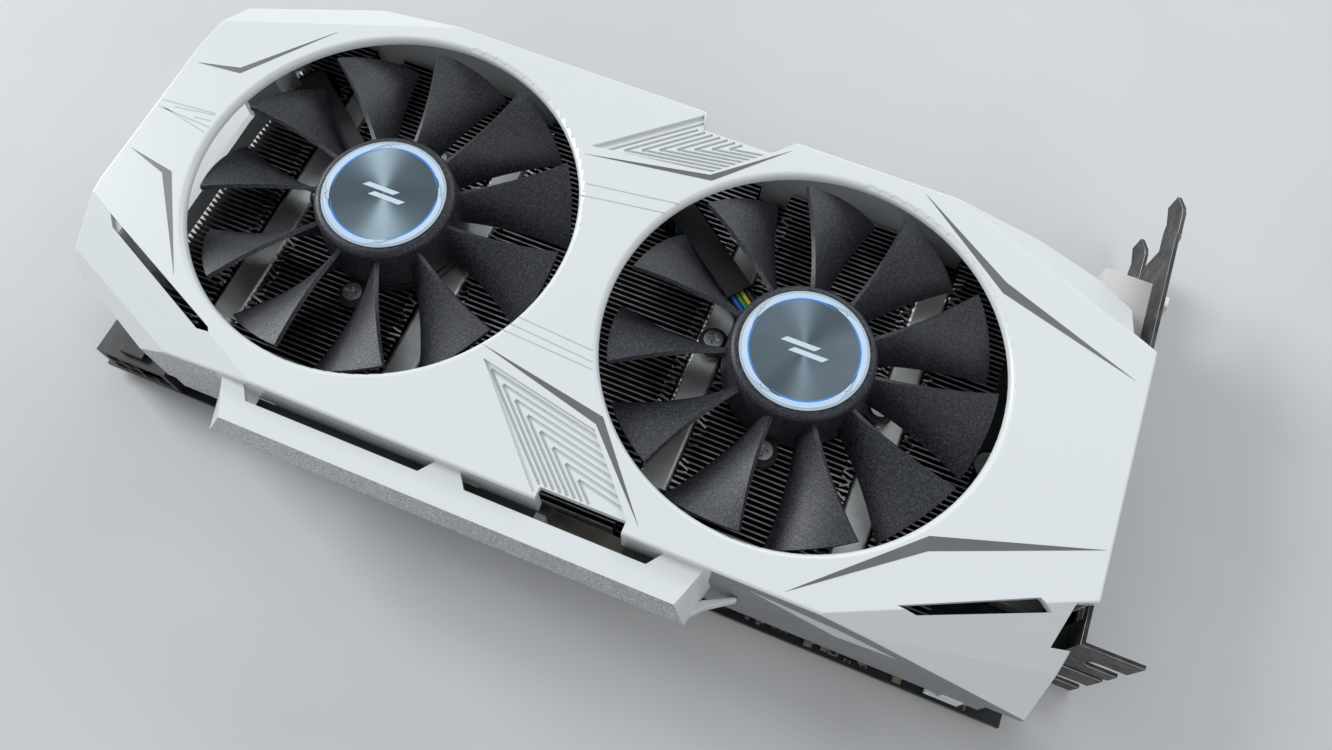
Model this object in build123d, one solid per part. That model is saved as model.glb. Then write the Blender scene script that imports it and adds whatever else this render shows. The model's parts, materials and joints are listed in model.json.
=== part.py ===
from build123d import *
import math
import os

# Dual-fan graphics card lying on its circuit board side, fans up.
# While modelling, x runs from the free end to the bracket and is 0 midway between the fans, y runs from the
# power side to the edge connector and is 0 on the fans' centre line, and z is height above the table.
# Every part is moved at the end so that the origin is the bottom centre of the whole card's box.

# ---- driving dimensions, in millimetres
TOP_Z = 42.0
FAN_X = 52.45
WALL = 1.8
LEFT_X = -115.75
RIGHT_X = 126.3
NEAR_Y = -54.0
FAR_Y = 52.0

DUCT_RADIUS = 45.8
DUCT_LIP = 1.5
ROTOR_RADIUS = 43.9
BLADE_COUNT = 11
BLADE_THICKNESS = 1.1
HUB_BOTTOM_Z = 29.2
HUB_TOP_Z = 41.7
HUB_INNER_RADIUS = 15.3
LABEL_RADIUS = 14.65
SHAFT_RADIUS = 1.5
BEARING_CLEARANCE = 0.03
FRAME_Z = 25.6
FRAME_THICKNESS = 2.0
LUG_CIRCLE = 21.0
LUG_ANGLES = (-2, 88, 178, 268)

FIN_BOTTOM_Z = 9.0
FIN_TOP_Z = 25.0
FIN_PITCH = 1.4
FIN_THICKNESS = 0.4
FIN_X = (-100.0, 98.0)
FIN_Y = (-50.0, 49.0)

PIPE_RADIUS = 3.0
PIPE_LOW_Z = 12.0
PIPE_HIGH_Z = 21.6
PIPE_BAND_X = (-80.6, -35.0, 31.0, 77.0)
PIPE_LANE_Y = (-13.5, 13.5, -4.5, 4.5)
PIPE_BEND = 8.0
STRAP_HALF_WIDTH = 3.9
STRAP_BOTTOM_Z = 20.6
STRAP_ROUND = 1.2
STRAP_Y = 42.0

BOARD_Z = 2.4
BOARD_TOP_Z = 4.0
BOARD_LEFT_X = -113.0
BOARD_RIGHT_X = 124.0
BOARD_NEAR_Y = -54.3
BOARD_FAR_Y = 55.75
FINGER_FAR_Y = 64.0

GPU_X = 5.0
BASE_SIZE = (60.0, 46.0)
COLD_PLATE_Z = 6.1

BRACKET_THICKNESS = 1.0
BRACKET_HEIGHT = 38.74
BRACKET_NEAR_Y = -39.0
BRACKET_TIP_Y = 81.3
FLANGE_X = 138.7
DVI_Y = 36.4
DVI_HEIGHTS = (10.2, 26.0)
DVI_SCREW_PITCH = 33.3
HDMI_Y = -2.0
DISPLAYPORT_Y = -20.0
SOCKET_Z = 7.4


# ---- plain shapes
def block(x0, x1, y0, y1, z0, z1):
    centre = Pos((x0 + x1) / 2, (y0 + y1) / 2, (z0 + z1) / 2)
    return centre * Box(x1 - x0, y1 - y0, z1 - z0)


def disc(x, y, z0, z1, radius):
    return Pos(x, y, (z0 + z1) / 2) * Cylinder(radius, z1 - z0)


def tube(x, y, z0, z1, outer, inner):
    return disc(x, y, z0, z1, outer) - disc(x, y, z0, z1, inner)


def rod_x(x0, x1, y, z, radius):
    return Pos((x0 + x1) / 2, y, z) * Rot(0, 90, 0) * Cylinder(radius, x1 - x0)


def prism(points, z0, z1):
    return Pos(0, 0, z0) * extrude(Polygon(*points, align=None), z1 - z0, dir=(0, 0, 1))


def group(solids):
    return Compound(children=list(solids))


def above(point, along, toward, slope, inset=0.0):
    """A slab over the plane through a level fold line, which falls by slope on the side of toward."""
    fold = Vector(*along).normalized()
    side = Vector(-fold.Y, fold.X, 0)
    if side.dot(Vector(*toward)) < 0:
        side = side * -1
    normal = Vector(side.X * slope, side.Y * slope, 1).normalized()
    origin = Vector(*point) - normal * inset
    plane = Plane(origin=origin, x_dir=fold, z_dir=normal)
    return plane * Box(500, 500, 80, align=(Align.CENTER, Align.CENTER, Align.MIN))


# ---- shroud
OUTLINE = [
    (LEFT_X, -22.0), (-115.0, -28.0), (-112.7, -42.2), (-88.2, NEAR_Y), (123.7, NEAR_Y), (RIGHT_X, -30.0),
    (RIGHT_X, 30.2), (120.6, 33.0), (120.6, 41.9), (112.2, 47.8), (95.5, FAR_Y), (-90.0, FAR_Y),
    (-112.7, 42.2), (-115.0, 28.0), (LEFT_X, 22.0),
]
# each corner facet: a point of its fold line, the fold's direction, the way it falls, its slope
FACETS = [
    ((-57.0, -53.3, TOP_Z), (57.0, -27.3, 0), (-1, -1, 0), 0.364),
    ((-78.7, NEAR_Y, TOP_Z - 3.5), (31.9, -14.4, 0), (-1, -1, 0), 1.43),
    ((72.6, -54.4, TOP_Z), (53.6, 24.7, 0), (1, -1, 0), 0.8),
    ((94.3, NEAR_Y, TOP_Z - 7.9), (30.7, 11.6, 0), (1, -1, 0), 1.21),
    ((74.0, 51.5, TOP_Z), (51.5, -21.7, 0), (1, 1, 0), 0.6),
    ((-57.0, 51.9, TOP_Z), (57.5, 22.1, 0), (-1, 1, 0), 0.466),
    ((-81.0, FAR_Y, TOP_Z - 4.2), (31.0, 12.6, 0), (-1, 1, 0), 1.2),
]
SKIRT_Z = 5.0
NEAR_WALL_Z = 13.0
FAR_WALL_Z = 12.0
EDGE_ROUND = 0.7
BAR_TOP_Z = 39.2
BAR_BOTTOM_Z = 27.0
BAR_WALL = 1.6
# the bar's plan at its top and at its foot: left end, right end at the wall, right end outside, outer face
BAR_TOP = (-64.5, -59.6, 49.8, 46.3, -62.8)
BAR_FOOT = (-70.0, -66.5, 52.0, 49.4, -63.9)
BAR_SLOTS = ((-58.7, -12.0), (-6.1, 40.4))
BAR_SLOT_Y = -57.3
BAR_SLOT_SLANT = 2.5
BAR_VENT_Z = (22.0, 32.5)
PANEL_DEPTH = 0.8
GROOVE_DEPTH = 0.5
GROOVE_WIDTH = 0.7
GROOVE_COUNT = 8
# the V grooves: first vertex, step to the next, slant of the steep arm, where it ends, rise of the long arm
FAR_VERTEX = (-9.2, 32.1)
FAR_STEP = (3.9, 1.72)
FAR_SLANT = 1.135
FAR_FIRST_END = 50.4
FAR_END = 46.4
FAR_ARM = 0.175
NEAR_VERTEX = (-9.75, -30.75)
NEAR_STEP = (4.0, -2.27)
NEAR_SLANT = 1.05
NEAR_END = -50.6
NEAR_ARM = -0.205
ARM_REACH = 30.0
FAR_PANEL = [(-13.0, 31.4), (16.6, 35.6), (31.0, 49.5), (28.2, 47.0), (10.4, 47.0), (9.0, 50.6)]
NEAR_PANEL = [(-12.25, -29.25), (17.0, -35.25), (31.0, -51.0), (11.5, -51.0), (10.5, -53.0)]
BOSS_PLACES = ((-107.0, -31.0), (-107.0, 34.0), (104.0, -47.5), (104.0, 42.0))
BOSS_RADIUS = 3.0
SHROUD_SCREW_RADIUS = 1.2


def shroud_form(inset, bottom):
    """The shroud's closed outer form, moved inwards by inset."""
    outline = Polygon(*OUTLINE, align=None)
    if inset:
        outline = offset(outline, -inset, kind=Kind.INTERSECTION)
    form = Pos(0, 0, bottom) * extrude(outline, TOP_Z - inset - bottom, dir=(0, 0, 1))
    for point, along, toward, slope in FACETS:
        form -= above(point, along, toward, slope, inset)
    return form


def duct_cutter(x):
    """The air opening of one fan, flared at the top into a rounded lip."""
    low = TOP_Z - WALL - DUCT_LIP
    lip_z = TOP_Z - DUCT_LIP
    mouth = DUCT_RADIUS + DUCT_LIP
    turn = DUCT_LIP * math.sin(math.radians(45))
    middle = (mouth - turn, 0, lip_z + turn)
    profile = [
        Line((0, 0, low), (DUCT_RADIUS, 0, low)),
        Line((DUCT_RADIUS, 0, low), (DUCT_RADIUS, 0, lip_z)),
        ThreePointArc((DUCT_RADIUS, 0, lip_z), middle, (mouth, 0, TOP_Z)),
        Line((mouth, 0, TOP_Z), (mouth, 0, TOP_Z + 1)),
        Line((mouth, 0, TOP_Z + 1), (0, 0, TOP_Z + 1)),
        Line((0, 0, TOP_Z + 1), (0, 0, low)),
    ]
    return Pos(x, 0, 0) * revolve(make_face(profile), Axis.Z)


def bar_along(start, end, width, z0, z1):
    """A straight bar over the line from start to end."""
    run = Vector(end[0] - start[0], end[1] - start[1], 0)
    angle = math.degrees(math.atan2(run.Y, run.X))
    centre = Pos((start[0] + end[0]) / 2, (start[1] + end[1]) / 2, (z0 + z1) / 2)
    return centre * Rot(0, 0, angle) * Box(run.length, width, z1 - z0)


def groove_between(start, end):
    return bar_along(start, end, GROOVE_WIDTH, TOP_Z - PANEL_DEPTH - GROOVE_DEPTH, TOP_Z)


def panel_grooves():
    """Nested V grooves in the two sunk panels beside the waist, each with a long and a steep arm."""
    grooves = []
    for step in range(GROOVE_COUNT):
        x, y = FAR_VERTEX[0] + FAR_STEP[0] * step, FAR_VERTEX[1] + FAR_STEP[1] * step
        rise = (FAR_FIRST_END if step == 0 else FAR_END) - y
        grooves.append(groove_between((x, y), (x + FAR_SLANT * rise, y + rise)))
        grooves.append(groove_between((x, y), (x + ARM_REACH, y + FAR_ARM * ARM_REACH)))
        x, y = NEAR_VERTEX[0] + NEAR_STEP[0] * step, NEAR_VERTEX[1] + NEAR_STEP[1] * step
        fall = y - NEAR_END
        grooves.append(groove_between((x, y), (x + NEAR_SLANT * fall, y - fall)))
        grooves.append(groove_between((x, y), (x + ARM_REACH, y + NEAR_ARM * ARM_REACH)))
    panels = prism(FAR_PANEL, 30, TOP_Z) + prism(NEAR_PANEL, 30, TOP_Z)
    return [panels & groove for groove in grooves]


def bar_plan(corners, inset, z):
    """The side bar's outline at one height, moved inwards by inset."""
    left_wall, left_outside, right_wall, right_outside, outer_y = corners
    wall_y = NEAR_Y if inset else NEAR_Y + 1.0
    points = [(left_wall + inset, wall_y), (right_wall - inset, wall_y),
              (right_outside - inset, outer_y + inset), (left_outside + inset, outer_y + inset)]
    return Pos(0, 0, z) * Polygon(*points, align=None)


def side_bar():
    """The slotted ledge along the power side, flared at its foot and closed at both ends."""
    bar = loft([bar_plan(BAR_FOOT, 0.0, BAR_BOTTOM_Z), bar_plan(BAR_TOP, 0.0, BAR_TOP_Z)], ruled=True)
    hollow_foot = bar_plan(BAR_FOOT, BAR_WALL, BAR_BOTTOM_Z)
    hollow_ceiling = bar_plan(BAR_TOP, BAR_WALL, BAR_TOP_Z - BAR_WALL)
    bar -= loft([hollow_foot, hollow_ceiling], ruled=True)
    for x0, x1 in BAR_SLOTS:
        far_edge = [(x0, NEAR_Y), (x1, NEAR_Y)]
        near_edge = [(x1 - BAR_SLOT_SLANT, BAR_SLOT_Y), (x0 + BAR_SLOT_SLANT, BAR_SLOT_Y)]
        bar -= prism(far_edge + near_edge, BAR_TOP_Z - 2 * BAR_WALL, TOP_Z)
    return bar


def shroud():
    form = shroud_form(0.0, SKIRT_Z)
    sharp = form.edges().filter_by(lambda edge: edge.bounding_box().min.Z > SKIRT_Z + 1)
    form = fillet(sharp, EDGE_ROUND)
    form -= shroud_form(WALL, SKIRT_Z - 1)
    for panel in (FAR_PANEL, NEAR_PANEL):
        form += prism(panel, TOP_Z - WALL - PANEL_DEPTH - GROOVE_DEPTH, TOP_Z - WALL)
        form -= prism(panel, TOP_Z - PANEL_DEPTH, TOP_Z + 1)
    for groove in panel_grooves():
        form -= groove
    for x in (-FAN_X, FAN_X):
        form -= duct_cutter(x)
    # wall bottoms, the open free end, and room for the bracket, the sockets and the power connector
    form -= block(-86.0, 130.0, -60.0, -45.0, 0.0, NEAR_WALL_Z)
    form -= block(-120.0, -86.0, -60.0, -34.0, 0.0, 18.0)
    form -= block(-111.0, 130.0, 38.0, 60.0, 0.0, FAR_WALL_Z)
    form -= block(-120.0, -110.0, -24.0, 24.0, 11.0, 23.0)
    form -= block(125.0, 130.0, -60.0, 60.0, 0.0, BRACKET_HEIGHT + 0.2)
    form -= block(104.5, 130.0, -40.0, 60.0, 0.0, 31.5)
    form -= block(116.0, 130.0, -60.0, -38.0, 0.0, NEAR_WALL_Z + 6)
    form += side_bar()
    # edge notches beside the sunk panels and over the bracket's near end, slots in the corner facets
    form -= prism([(9.0, 53.0), (10.4, 47.0), (28.2, 47.0), (34.2, 53.0)], 30.0, TOP_Z + 1)
    form -= block(11.5, 31.0, NEAR_Y - 0.1, -51.0, 0.0, TOP_Z + 1)
    form -= prism([(121.8, -32.0), (120.8, -41.0), (128.0, -39.2), (128.0, -29.5)], 24.0, TOP_Z + 1)
    for x0, x1 in BAR_SLOTS:
        form -= block(x0 + 1, x1 - 1, NEAR_Y - 0.1, NEAR_Y + WALL + 0.1, *BAR_VENT_Z)
    form -= prism([(-107.75, -29.25), (-105.75, -32.0), (-74.0, -46.9), (-70.75, -46.75), (-71.5, -45.75)],
                  32.0, TOP_Z + 1)
    form -= prism([(88.0, -46.4), (92.4, -46.6), (118.0, -35.4), (114.6, -33.8)], 32.0, TOP_Z + 1)
    for x, y in BOSS_PLACES:
        boss = disc(x, y, BOARD_TOP_Z, TOP_Z, BOSS_RADIUS) & shroud_form(WALL / 2, BOARD_TOP_Z)
        form += boss
        form -= disc(x, y, BOARD_TOP_Z - 1, BOARD_TOP_Z + 8, SHROUD_SCREW_RADIUS)
    return form.solids().sort_by(SortBy.VOLUME)[-1]


# ---- fans
LEAD_ANGLE = {-1: -94.8, 1: -88.4}
TIP_SPAN = 25.5
ROOT_SPAN = 8.5
ROOT_LAG = 7.0
LEAD_Z = (39.2, 40.2)
TRAIL_Z = (31.0, 30.8)
CAMBER = (0.5, 1.2)
ROOT_STATION = 16.2
TIP_STATION = 45.5


def blade_section(radius):
    """The blade's thin curved section on the plane x = radius."""
    share = (radius - ROOT_STATION) / (ROTOR_RADIUS - ROOT_STATION)
    lead = math.radians(TIP_SPAN / 2 - ROOT_LAG * (1 - share))
    trail = lead - math.radians(ROOT_SPAN + (TIP_SPAN - ROOT_SPAN) * share)
    lead_z = LEAD_Z[0] + (LEAD_Z[1] - LEAD_Z[0]) * share
    trail_z = TRAIL_Z[0] + (TRAIL_Z[1] - TRAIL_Z[0]) * share
    start = Vector(radius, radius * math.tan(trail), trail_z)
    end = Vector(radius, radius * math.tan(lead), lead_z)
    chord = (end - start).normalized()
    normal = Vector(0, -chord.Z, chord.Y)
    middle = (start + end) * 0.5 + normal * (CAMBER[0] + (CAMBER[1] - CAMBER[0]) * share)
    half = normal * (BLADE_THICKNESS / 2)
    return make_face([
        ThreePointArc(start - half, middle - half, end - half),
        Line(end - half, end + half),
        ThreePointArc(end + half, middle + half, start + half),
        Line(start + half, start - half),
    ])


def fan_rotor(side):
    """Hub and blades of one fan, one moulding."""
    blade = loft([blade_section(r) for r in (ROOT_STATION, 30.0, TIP_STATION)])
    blade &= disc(0, 0, 20, TOP_Z + 2, ROTOR_RADIUS)
    profile = [
        Line((0, 0, 39.9), (HUB_INNER_RADIUS, 0, 39.9)),
        Line((HUB_INNER_RADIUS, 0, 39.9), (HUB_INNER_RADIUS, 0, HUB_BOTTOM_Z)),
        Line((HUB_INNER_RADIUS, 0, HUB_BOTTOM_Z), (17.7, 0, HUB_BOTTOM_Z)),
        Line((17.7, 0, HUB_BOTTOM_Z), (16.8, 0, 40.0)),
        ThreePointArc((16.8, 0, 40.0), (16.3, 0, 41.2), (15.1, 0, HUB_TOP_Z)),
        Line((15.1, 0, HUB_TOP_Z), (0, 0, HUB_TOP_Z)),
        Line((0, 0, HUB_TOP_Z), (0, 0, 39.9)),
    ]
    rotor = revolve(make_face(profile), Axis.Z)
    middle = LEAD_ANGLE[side] - TIP_SPAN / 2
    for step in range(BLADE_COUNT):
        rotor += Rot(0, 0, middle + step * 360 / BLADE_COUNT) * blade
    return Pos(side * FAN_X, 0, 0) * rotor


def hub_label(side):
    return disc(side * FAN_X, 0, HUB_TOP_Z, TOP_Z, LABEL_RADIUS)


def rotor_yoke(side):
    """Steel cup that carries the magnets inside the hub."""
    x = side * FAN_X
    cup = disc(x, 0, 30.2, 39.9, HUB_INNER_RADIUS) - disc(x, 0, 30.0, 39.3, 14.7)
    return cup - disc(x, 0, 39.0, 40.0, SHAFT_RADIUS)


def magnet_ring(side):
    return tube(side * FAN_X, 0, 31.0, 38.0, 14.7, 13.5)


def rotor_shaft(side):
    return disc(side * FAN_X, 0, 28.4, 39.9, SHAFT_RADIUS)


def lug_places(side):
    for angle in LUG_ANGLES:
        turn = math.radians(angle)
        yield side * FAN_X + LUG_CIRCLE * math.cos(turn), LUG_CIRCLE * math.sin(turn)


CABLE_ANGLE = 143.0
CABLE_START = 15.0
CABLE_CORNER = 50.0
WIRE_RADIUS = 0.55
WIRE_PITCH = 1.3
WIRE_Z = FRAME_Z + FRAME_THICKNESS + WIRE_RADIUS
WIRE_BEND = 6.0
PLUG_TOP_Z = 10.0
ARM_LENGTH = 43.0
PAD_RADIUS = 3.2
PAD_BOTTOM_Z = PIPE_HIGH_Z + PIPE_RADIUS + 0.05
SCREW_RADIUS = 1.2


def cable_frame(side):
    """A frame at the fan's centre whose x axis points along the cable arm."""
    return Pos(side * FAN_X, 0, 0) * Rot(0, 0, CABLE_ANGLE)


def fan_frame(side):
    """Fixed seat under the hub: base, bearing tube, screw lugs and the arm that carries the cable."""
    x = side * FAN_X
    top = FRAME_Z + FRAME_THICKNESS
    frame = disc(x, 0, FRAME_Z, top, 17.4)
    arm = block(12.0, ARM_LENGTH, -3.4, 3.4, FRAME_Z, top)
    frame += cable_frame(side) * arm
    for angle in LUG_ANGLES:
        frame += Pos(x, 0, 0) * Rot(0, 0, angle) * block(14.0, LUG_CIRCLE, -2.6, 2.6, FRAME_Z, top)
    for lug_x, lug_y in lug_places(side):
        frame += disc(lug_x, lug_y, FRAME_Z, top, 3.6)
        frame -= disc(lug_x, lug_y, FRAME_Z - 1, top + 1, SCREW_RADIUS)
    frame += disc(x, 0, top, 37.5, 4.2)
    return frame - disc(x, 0, top, 38.0, SHAFT_RADIUS * 2)


def shaft_bearing(side):
    top = FRAME_Z + FRAME_THICKNESS
    return tube(side * FAN_X, 0, top, 37.5, SHAFT_RADIUS * 2, SHAFT_RADIUS + BEARING_CLEARANCE)


def driver_board(side):
    top = FRAME_Z + FRAME_THICKNESS
    return tube(side * FAN_X, 0, top, top + 0.9, 12.6, 4.2)


POLE_COUNT = 6


def stator_core(side):
    """Laminated steel star on the bearing tube."""
    core = tube(0, 0, 31.5, 36.5, 6.4, 4.2)
    shoes = tube(0, 0, 31.5, 36.5, 12.9, 11.7)
    for pole in range(POLE_COUNT):
        turn = Rot(0, 0, pole * 360 / POLE_COUNT)
        core += turn * block(6.0, 12.0, -1.3, 1.3, 31.5, 36.5)
        shoes -= turn * Rot(0, 0, 180 / POLE_COUNT) * block(10.0, 14.0, -1.0, 1.0, 31.0, 37.0)
    return Pos(side * FAN_X, 0, 0) * (core + shoes)


def stator_coils(side):
    """One copper winding round each pole."""
    coils = []
    for pole in range(POLE_COUNT):
        coil = block(7.0, 11.4, -2.4, 2.4, 30.4, 37.6) - block(6.0, 12.5, -1.3, 1.3, 31.5, 36.5)
        coils.append(Pos(side * FAN_X, 0, 0) * Rot(0, 0, pole * 360 / POLE_COUNT) * coil)
    return group(coils)


def fan_screws(side):
    """Pan-head screws that hold the fan frame on its threaded pads."""
    top = FRAME_Z + FRAME_THICKNESS
    screws = []
    for x, y in lug_places(side):
        head = disc(x, y, top, top + 1.3, 2.35)
        head -= block(x - 1.3, x + 1.3, y - 0.3, y + 0.3, top + 0.7, top + 2)
        head -= block(x - 0.3, x + 0.3, y - 1.3, y + 1.3, top + 0.7, top + 2)
        screws.append(head + disc(x, y, PAD_BOTTOM_Z, top, SCREW_RADIUS))
    return group(screws)


def fan_mount_pads(side):
    """Threaded steel pads soldered on the fin tops under the fan frame's lugs."""
    return group(tube(x, y, PAD_BOTTOM_Z, FRAME_Z, PAD_RADIUS, SCREW_RADIUS) for x, y in lug_places(side))


def wire_route(offset_y):
    """Straight out along the arm, then down into the plug."""
    corner = (CABLE_CORNER, offset_y, WIRE_Z)
    points = [(CABLE_START, offset_y, WIRE_Z), corner, (CABLE_CORNER, offset_y, PLUG_TOP_Z)]
    return FilletPolyline(*points, radius=WIRE_BEND)


def fan_cable(side):
    """Four wires held on the arm and plugged in on the board."""
    wires = []
    for wire in range(4):
        route = wire_route((wire - 1.5) * WIRE_PITCH)
        section = Plane(origin=(CABLE_START, (wire - 1.5) * WIRE_PITCH, WIRE_Z), z_dir=(1, 0, 0))
        wires.append(cable_frame(side) * sweep(section * Circle(WIRE_RADIUS), path=route))
    return group(wires)


def fan_plug(side):
    """Four-way plug in its header."""
    plug = block(CABLE_CORNER - 2.2, CABLE_CORNER + 2.2, -4.6, 4.6, BOARD_TOP_Z, PLUG_TOP_Z)
    plug -= block(CABLE_CORNER - 3.0, CABLE_CORNER - 1.7, -2.6, 2.6, 6.0, PLUG_TOP_Z + 1)
    return cable_frame(side) * plug


# ---- cooler
def pipe_run(index):
    """Route of one heat pipe: along the cold plate, out to its band, up, and back across the fin tops."""
    band = PIPE_BAND_X[index]
    lane = PIPE_LANE_Y[index]
    side = math.copysign(1, lane)
    inner = GPU_X - math.copysign(28.0, band - GPU_X)
    far = STRAP_Y * side
    return [(inner, lane, PIPE_LOW_Z), (band, lane, PIPE_LOW_Z), (band, far, PIPE_LOW_Z),
            (band, far, PIPE_HIGH_Z), (band, -far, PIPE_HIGH_Z)]


def strap(x):
    """The flattened, widened stretch of a pipe where it crosses the fin tops."""
    half_y = STRAP_Y - PIPE_RADIUS - 2.0
    top = PIPE_HIGH_Z + PIPE_RADIUS
    body = block(x - STRAP_HALF_WIDTH, x + STRAP_HALF_WIDTH, -half_y, half_y, STRAP_BOTTOM_Z, top)
    return fillet(body.edges().filter_by(Axis.Y), STRAP_ROUND)


def heat_pipe(index):
    points = pipe_run(index)
    tight = (PIPE_HIGH_Z - PIPE_LOW_Z) / 2 - 0.1
    route = FilletPolyline(*points, radius=[PIPE_BEND, tight, tight])
    heading = math.copysign(1, points[1][0] - points[0][0])
    section = Plane(origin=points[0], z_dir=(heading, 0, 0))
    return sweep(section * Circle(PIPE_RADIUS), path=route) + strap(points[1][0])


def pipe_room(index):
    """Clear channels in the fins for one pipe."""
    room = PIPE_RADIUS + 0.15
    wide = STRAP_HALF_WIDTH + 0.15
    start, corner, turn, _, end = pipe_run(index)
    x0, x1 = sorted((start[0], corner[0]))
    y0, y1 = sorted((corner[1], turn[1]))
    channels = [
        block(x0 - room, x1 + room, start[1] - room, start[1] + room, FIN_BOTTOM_Z - 1, PIPE_LOW_Z + room),
        block(corner[0] - room, corner[0] + room, y0 - room, y1 + room, FIN_BOTTOM_Z - 1, PIPE_LOW_Z + room),
        block(corner[0] - wide, corner[0] + wide, FIN_Y[0] - 1, FIN_Y[1] + 1, PIPE_HIGH_Z - room, FIN_TOP_Z + 1),
    ]
    bend_x = sorted((corner[0], corner[0] + math.copysign(PIPE_BEND, start[0] - corner[0])))
    bend_y = sorted((corner[1], corner[1] + math.copysign(PIPE_BEND, turn[1])))
    channels.append(block(*bend_x, *bend_y, FIN_BOTTOM_Z - 1, PIPE_LOW_Z + room))
    column_y = sorted((turn[1], turn[1] - math.copysign(5, turn[1])))
    channels.append(block(corner[0] - room, corner[0] + room, column_y[0] - room, column_y[1] + room,
                          FIN_BOTTOM_Z - 1, FIN_TOP_Z + 1))
    return channels


def heatsink_fins():
    """Thin fins standing on a web, one above each pitch line, cleared for everything that passes through."""
    web_z = FIN_BOTTOM_Z + 1.2
    count = int((FIN_Y[1] - FIN_Y[0]) / FIN_PITCH) + 1
    profile = [(FIN_Y[0], FIN_BOTTOM_Z), (FIN_Y[0] + (count - 1) * FIN_PITCH + FIN_THICKNESS, FIN_BOTTOM_Z)]
    for fin in reversed(range(count)):
        y = FIN_Y[0] + fin * FIN_PITCH
        profile += [(y + FIN_THICKNESS, FIN_TOP_Z), (y, FIN_TOP_Z)]
        if fin:
            profile += [(y, web_z), (y - FIN_PITCH + FIN_THICKNESS, web_z)]
    across = Plane(origin=(FIN_X[0], 0, 0), x_dir=(0, 1, 0), z_dir=(1, 0, 0))
    fins = extrude(across * Polygon(*profile, align=None), FIN_X[1] - FIN_X[0], dir=(1, 0, 0))
    fins &= shroud_form(WALL + 0.3, 0.0)
    room = []
    for index in range(len(PIPE_BAND_X)):
        room += pipe_room(index)
    half_x, half_y = BASE_SIZE[0] / 2 + 0.2, BASE_SIZE[1] / 2 + 0.2
    room.append(block(GPU_X - half_x, GPU_X + half_x, -half_y, half_y, 0, 11.0))
    room.append(block(FIN_X[0] - 1, POWER_X[1] + 1, FIN_Y[0] - 1, POWER_Y[1] + 1, 0, POWER_Z[1] + 2.2))
    for x, y in cooler_screw_places():
        room.append(block(x - 3.4, x + 3.4, y - 3.4, y + 3.4, 0, 15.5))
    for side in (-1, 1):
        for x, y in lug_places(side):
            room.append(disc(x, y, PAD_BOTTOM_Z, FIN_TOP_Z + 1, PAD_RADIUS + 0.2))
        plug_room = block(CABLE_CORNER - 9, CABLE_CORNER + 4, -5.5, 5.5, 0, FIN_TOP_Z + 1)
        room.append(cable_frame(side) * plug_room)
    return (fins - room).solids().sort_by(SortBy.VOLUME)[-1]


COOLER_SCREW_X = 19.0
COOLER_SCREW_Y = 26.5


def cooler_screw_places():
    for x in (-1, 1):
        for y in (-1, 1):
            yield GPU_X + x * COOLER_SCREW_X, y * COOLER_SCREW_Y


SPRING_SCREW_RADIUS = 1.5


def base_plate(pipes):
    """Cold plate on the chip with half-round seats for the pipes and four screw ears."""
    plate = block(GPU_X - BASE_SIZE[0] / 2, GPU_X + BASE_SIZE[0] / 2, -BASE_SIZE[1] / 2, BASE_SIZE[1] / 2,
                  COLD_PLATE_Z, 11.0)
    for x, y in cooler_screw_places():
        low_y, high_y = sorted((y, 0.8 * y))
        plate += block(x - 3.2, x + 3.2, low_y - 3.2, high_y + 3.2, COLD_PLATE_Z, COLD_PLATE_Z + 2)
    for x, y in cooler_screw_places():
        plate -= disc(x, y, COLD_PLATE_Z - 1, COLD_PLATE_Z + 3, SPRING_SCREW_RADIUS)
    for pipe in pipes:
        plate -= pipe
    return plate


def spring_screws():
    """Shouldered screws from the cold plate's ears through the board into the retention plate."""
    top = COLD_PLATE_Z + 2
    screws = []
    for x, y in cooler_screw_places():
        screw = disc(x, y, 0.6, top + 4.6, SPRING_SCREW_RADIUS) + disc(x, y, top + 4.6, top + 6.2, 3.0)
        screws.append(screw)
    return group(screws)


def cooler_springs():
    """Short coil springs under the screw heads, as closed sleeves."""
    top = COLD_PLATE_Z + 2
    return group(tube(x, y, top, top + 4.6, 2.6, SPRING_SCREW_RADIUS) for x, y in cooler_screw_places())


def retention_plate():
    """Steel cross behind the chip, which the card rests on."""
    plate = disc(GPU_X, 0, 0.0, 1.6, 14.0)
    for x, y in cooler_screw_places():
        plate += bar_along((GPU_X, 0), (x, y), 9.0, 0.0, 1.6)
        plate += disc(x, y, 0.0, BOARD_Z, 5.0)
    for x, y in cooler_screw_places():
        plate -= disc(x, y, 0.6, BOARD_Z + 1, SPRING_SCREW_RADIUS)
    return plate - disc(GPU_X, 0, -1, 2, 6.0)


# ---- circuit board
CHIP_HEIGHT = 1.1
MEMORY_PLACES = [(GPU_X - 37, y) for y in (-33, -11, 11, 33)] + [(GPU_X + 37, y) for y in (-33, -11, 11, 33)]
MEMORY_PLACES += [(GPU_X + x, 44) for x in (-20, -4, 12)]
CHOKE_PLACES = [(-62.0, y) for y in (-40, -28, -16, -4, 8, 20, 32)]
MOSFET_PLACES = [(-74.0, y) for y in (-40, -28, -16, -4, 8, 20, 32)]
CAPACITOR_PLACES = [(-50.0, y) for y in (-38, -26, -14, -2, 10, 22, 34)] + [(104.5, y) for y in (-16, -6, 4)]
POWER_X = (-110.4, -91.0)
POWER_Y = (-54.2, -42.6)
POWER_Z = (BOARD_TOP_Z, 14.6)
POWER_CELL = 3.5
POWER_PITCH = 4.2


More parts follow.
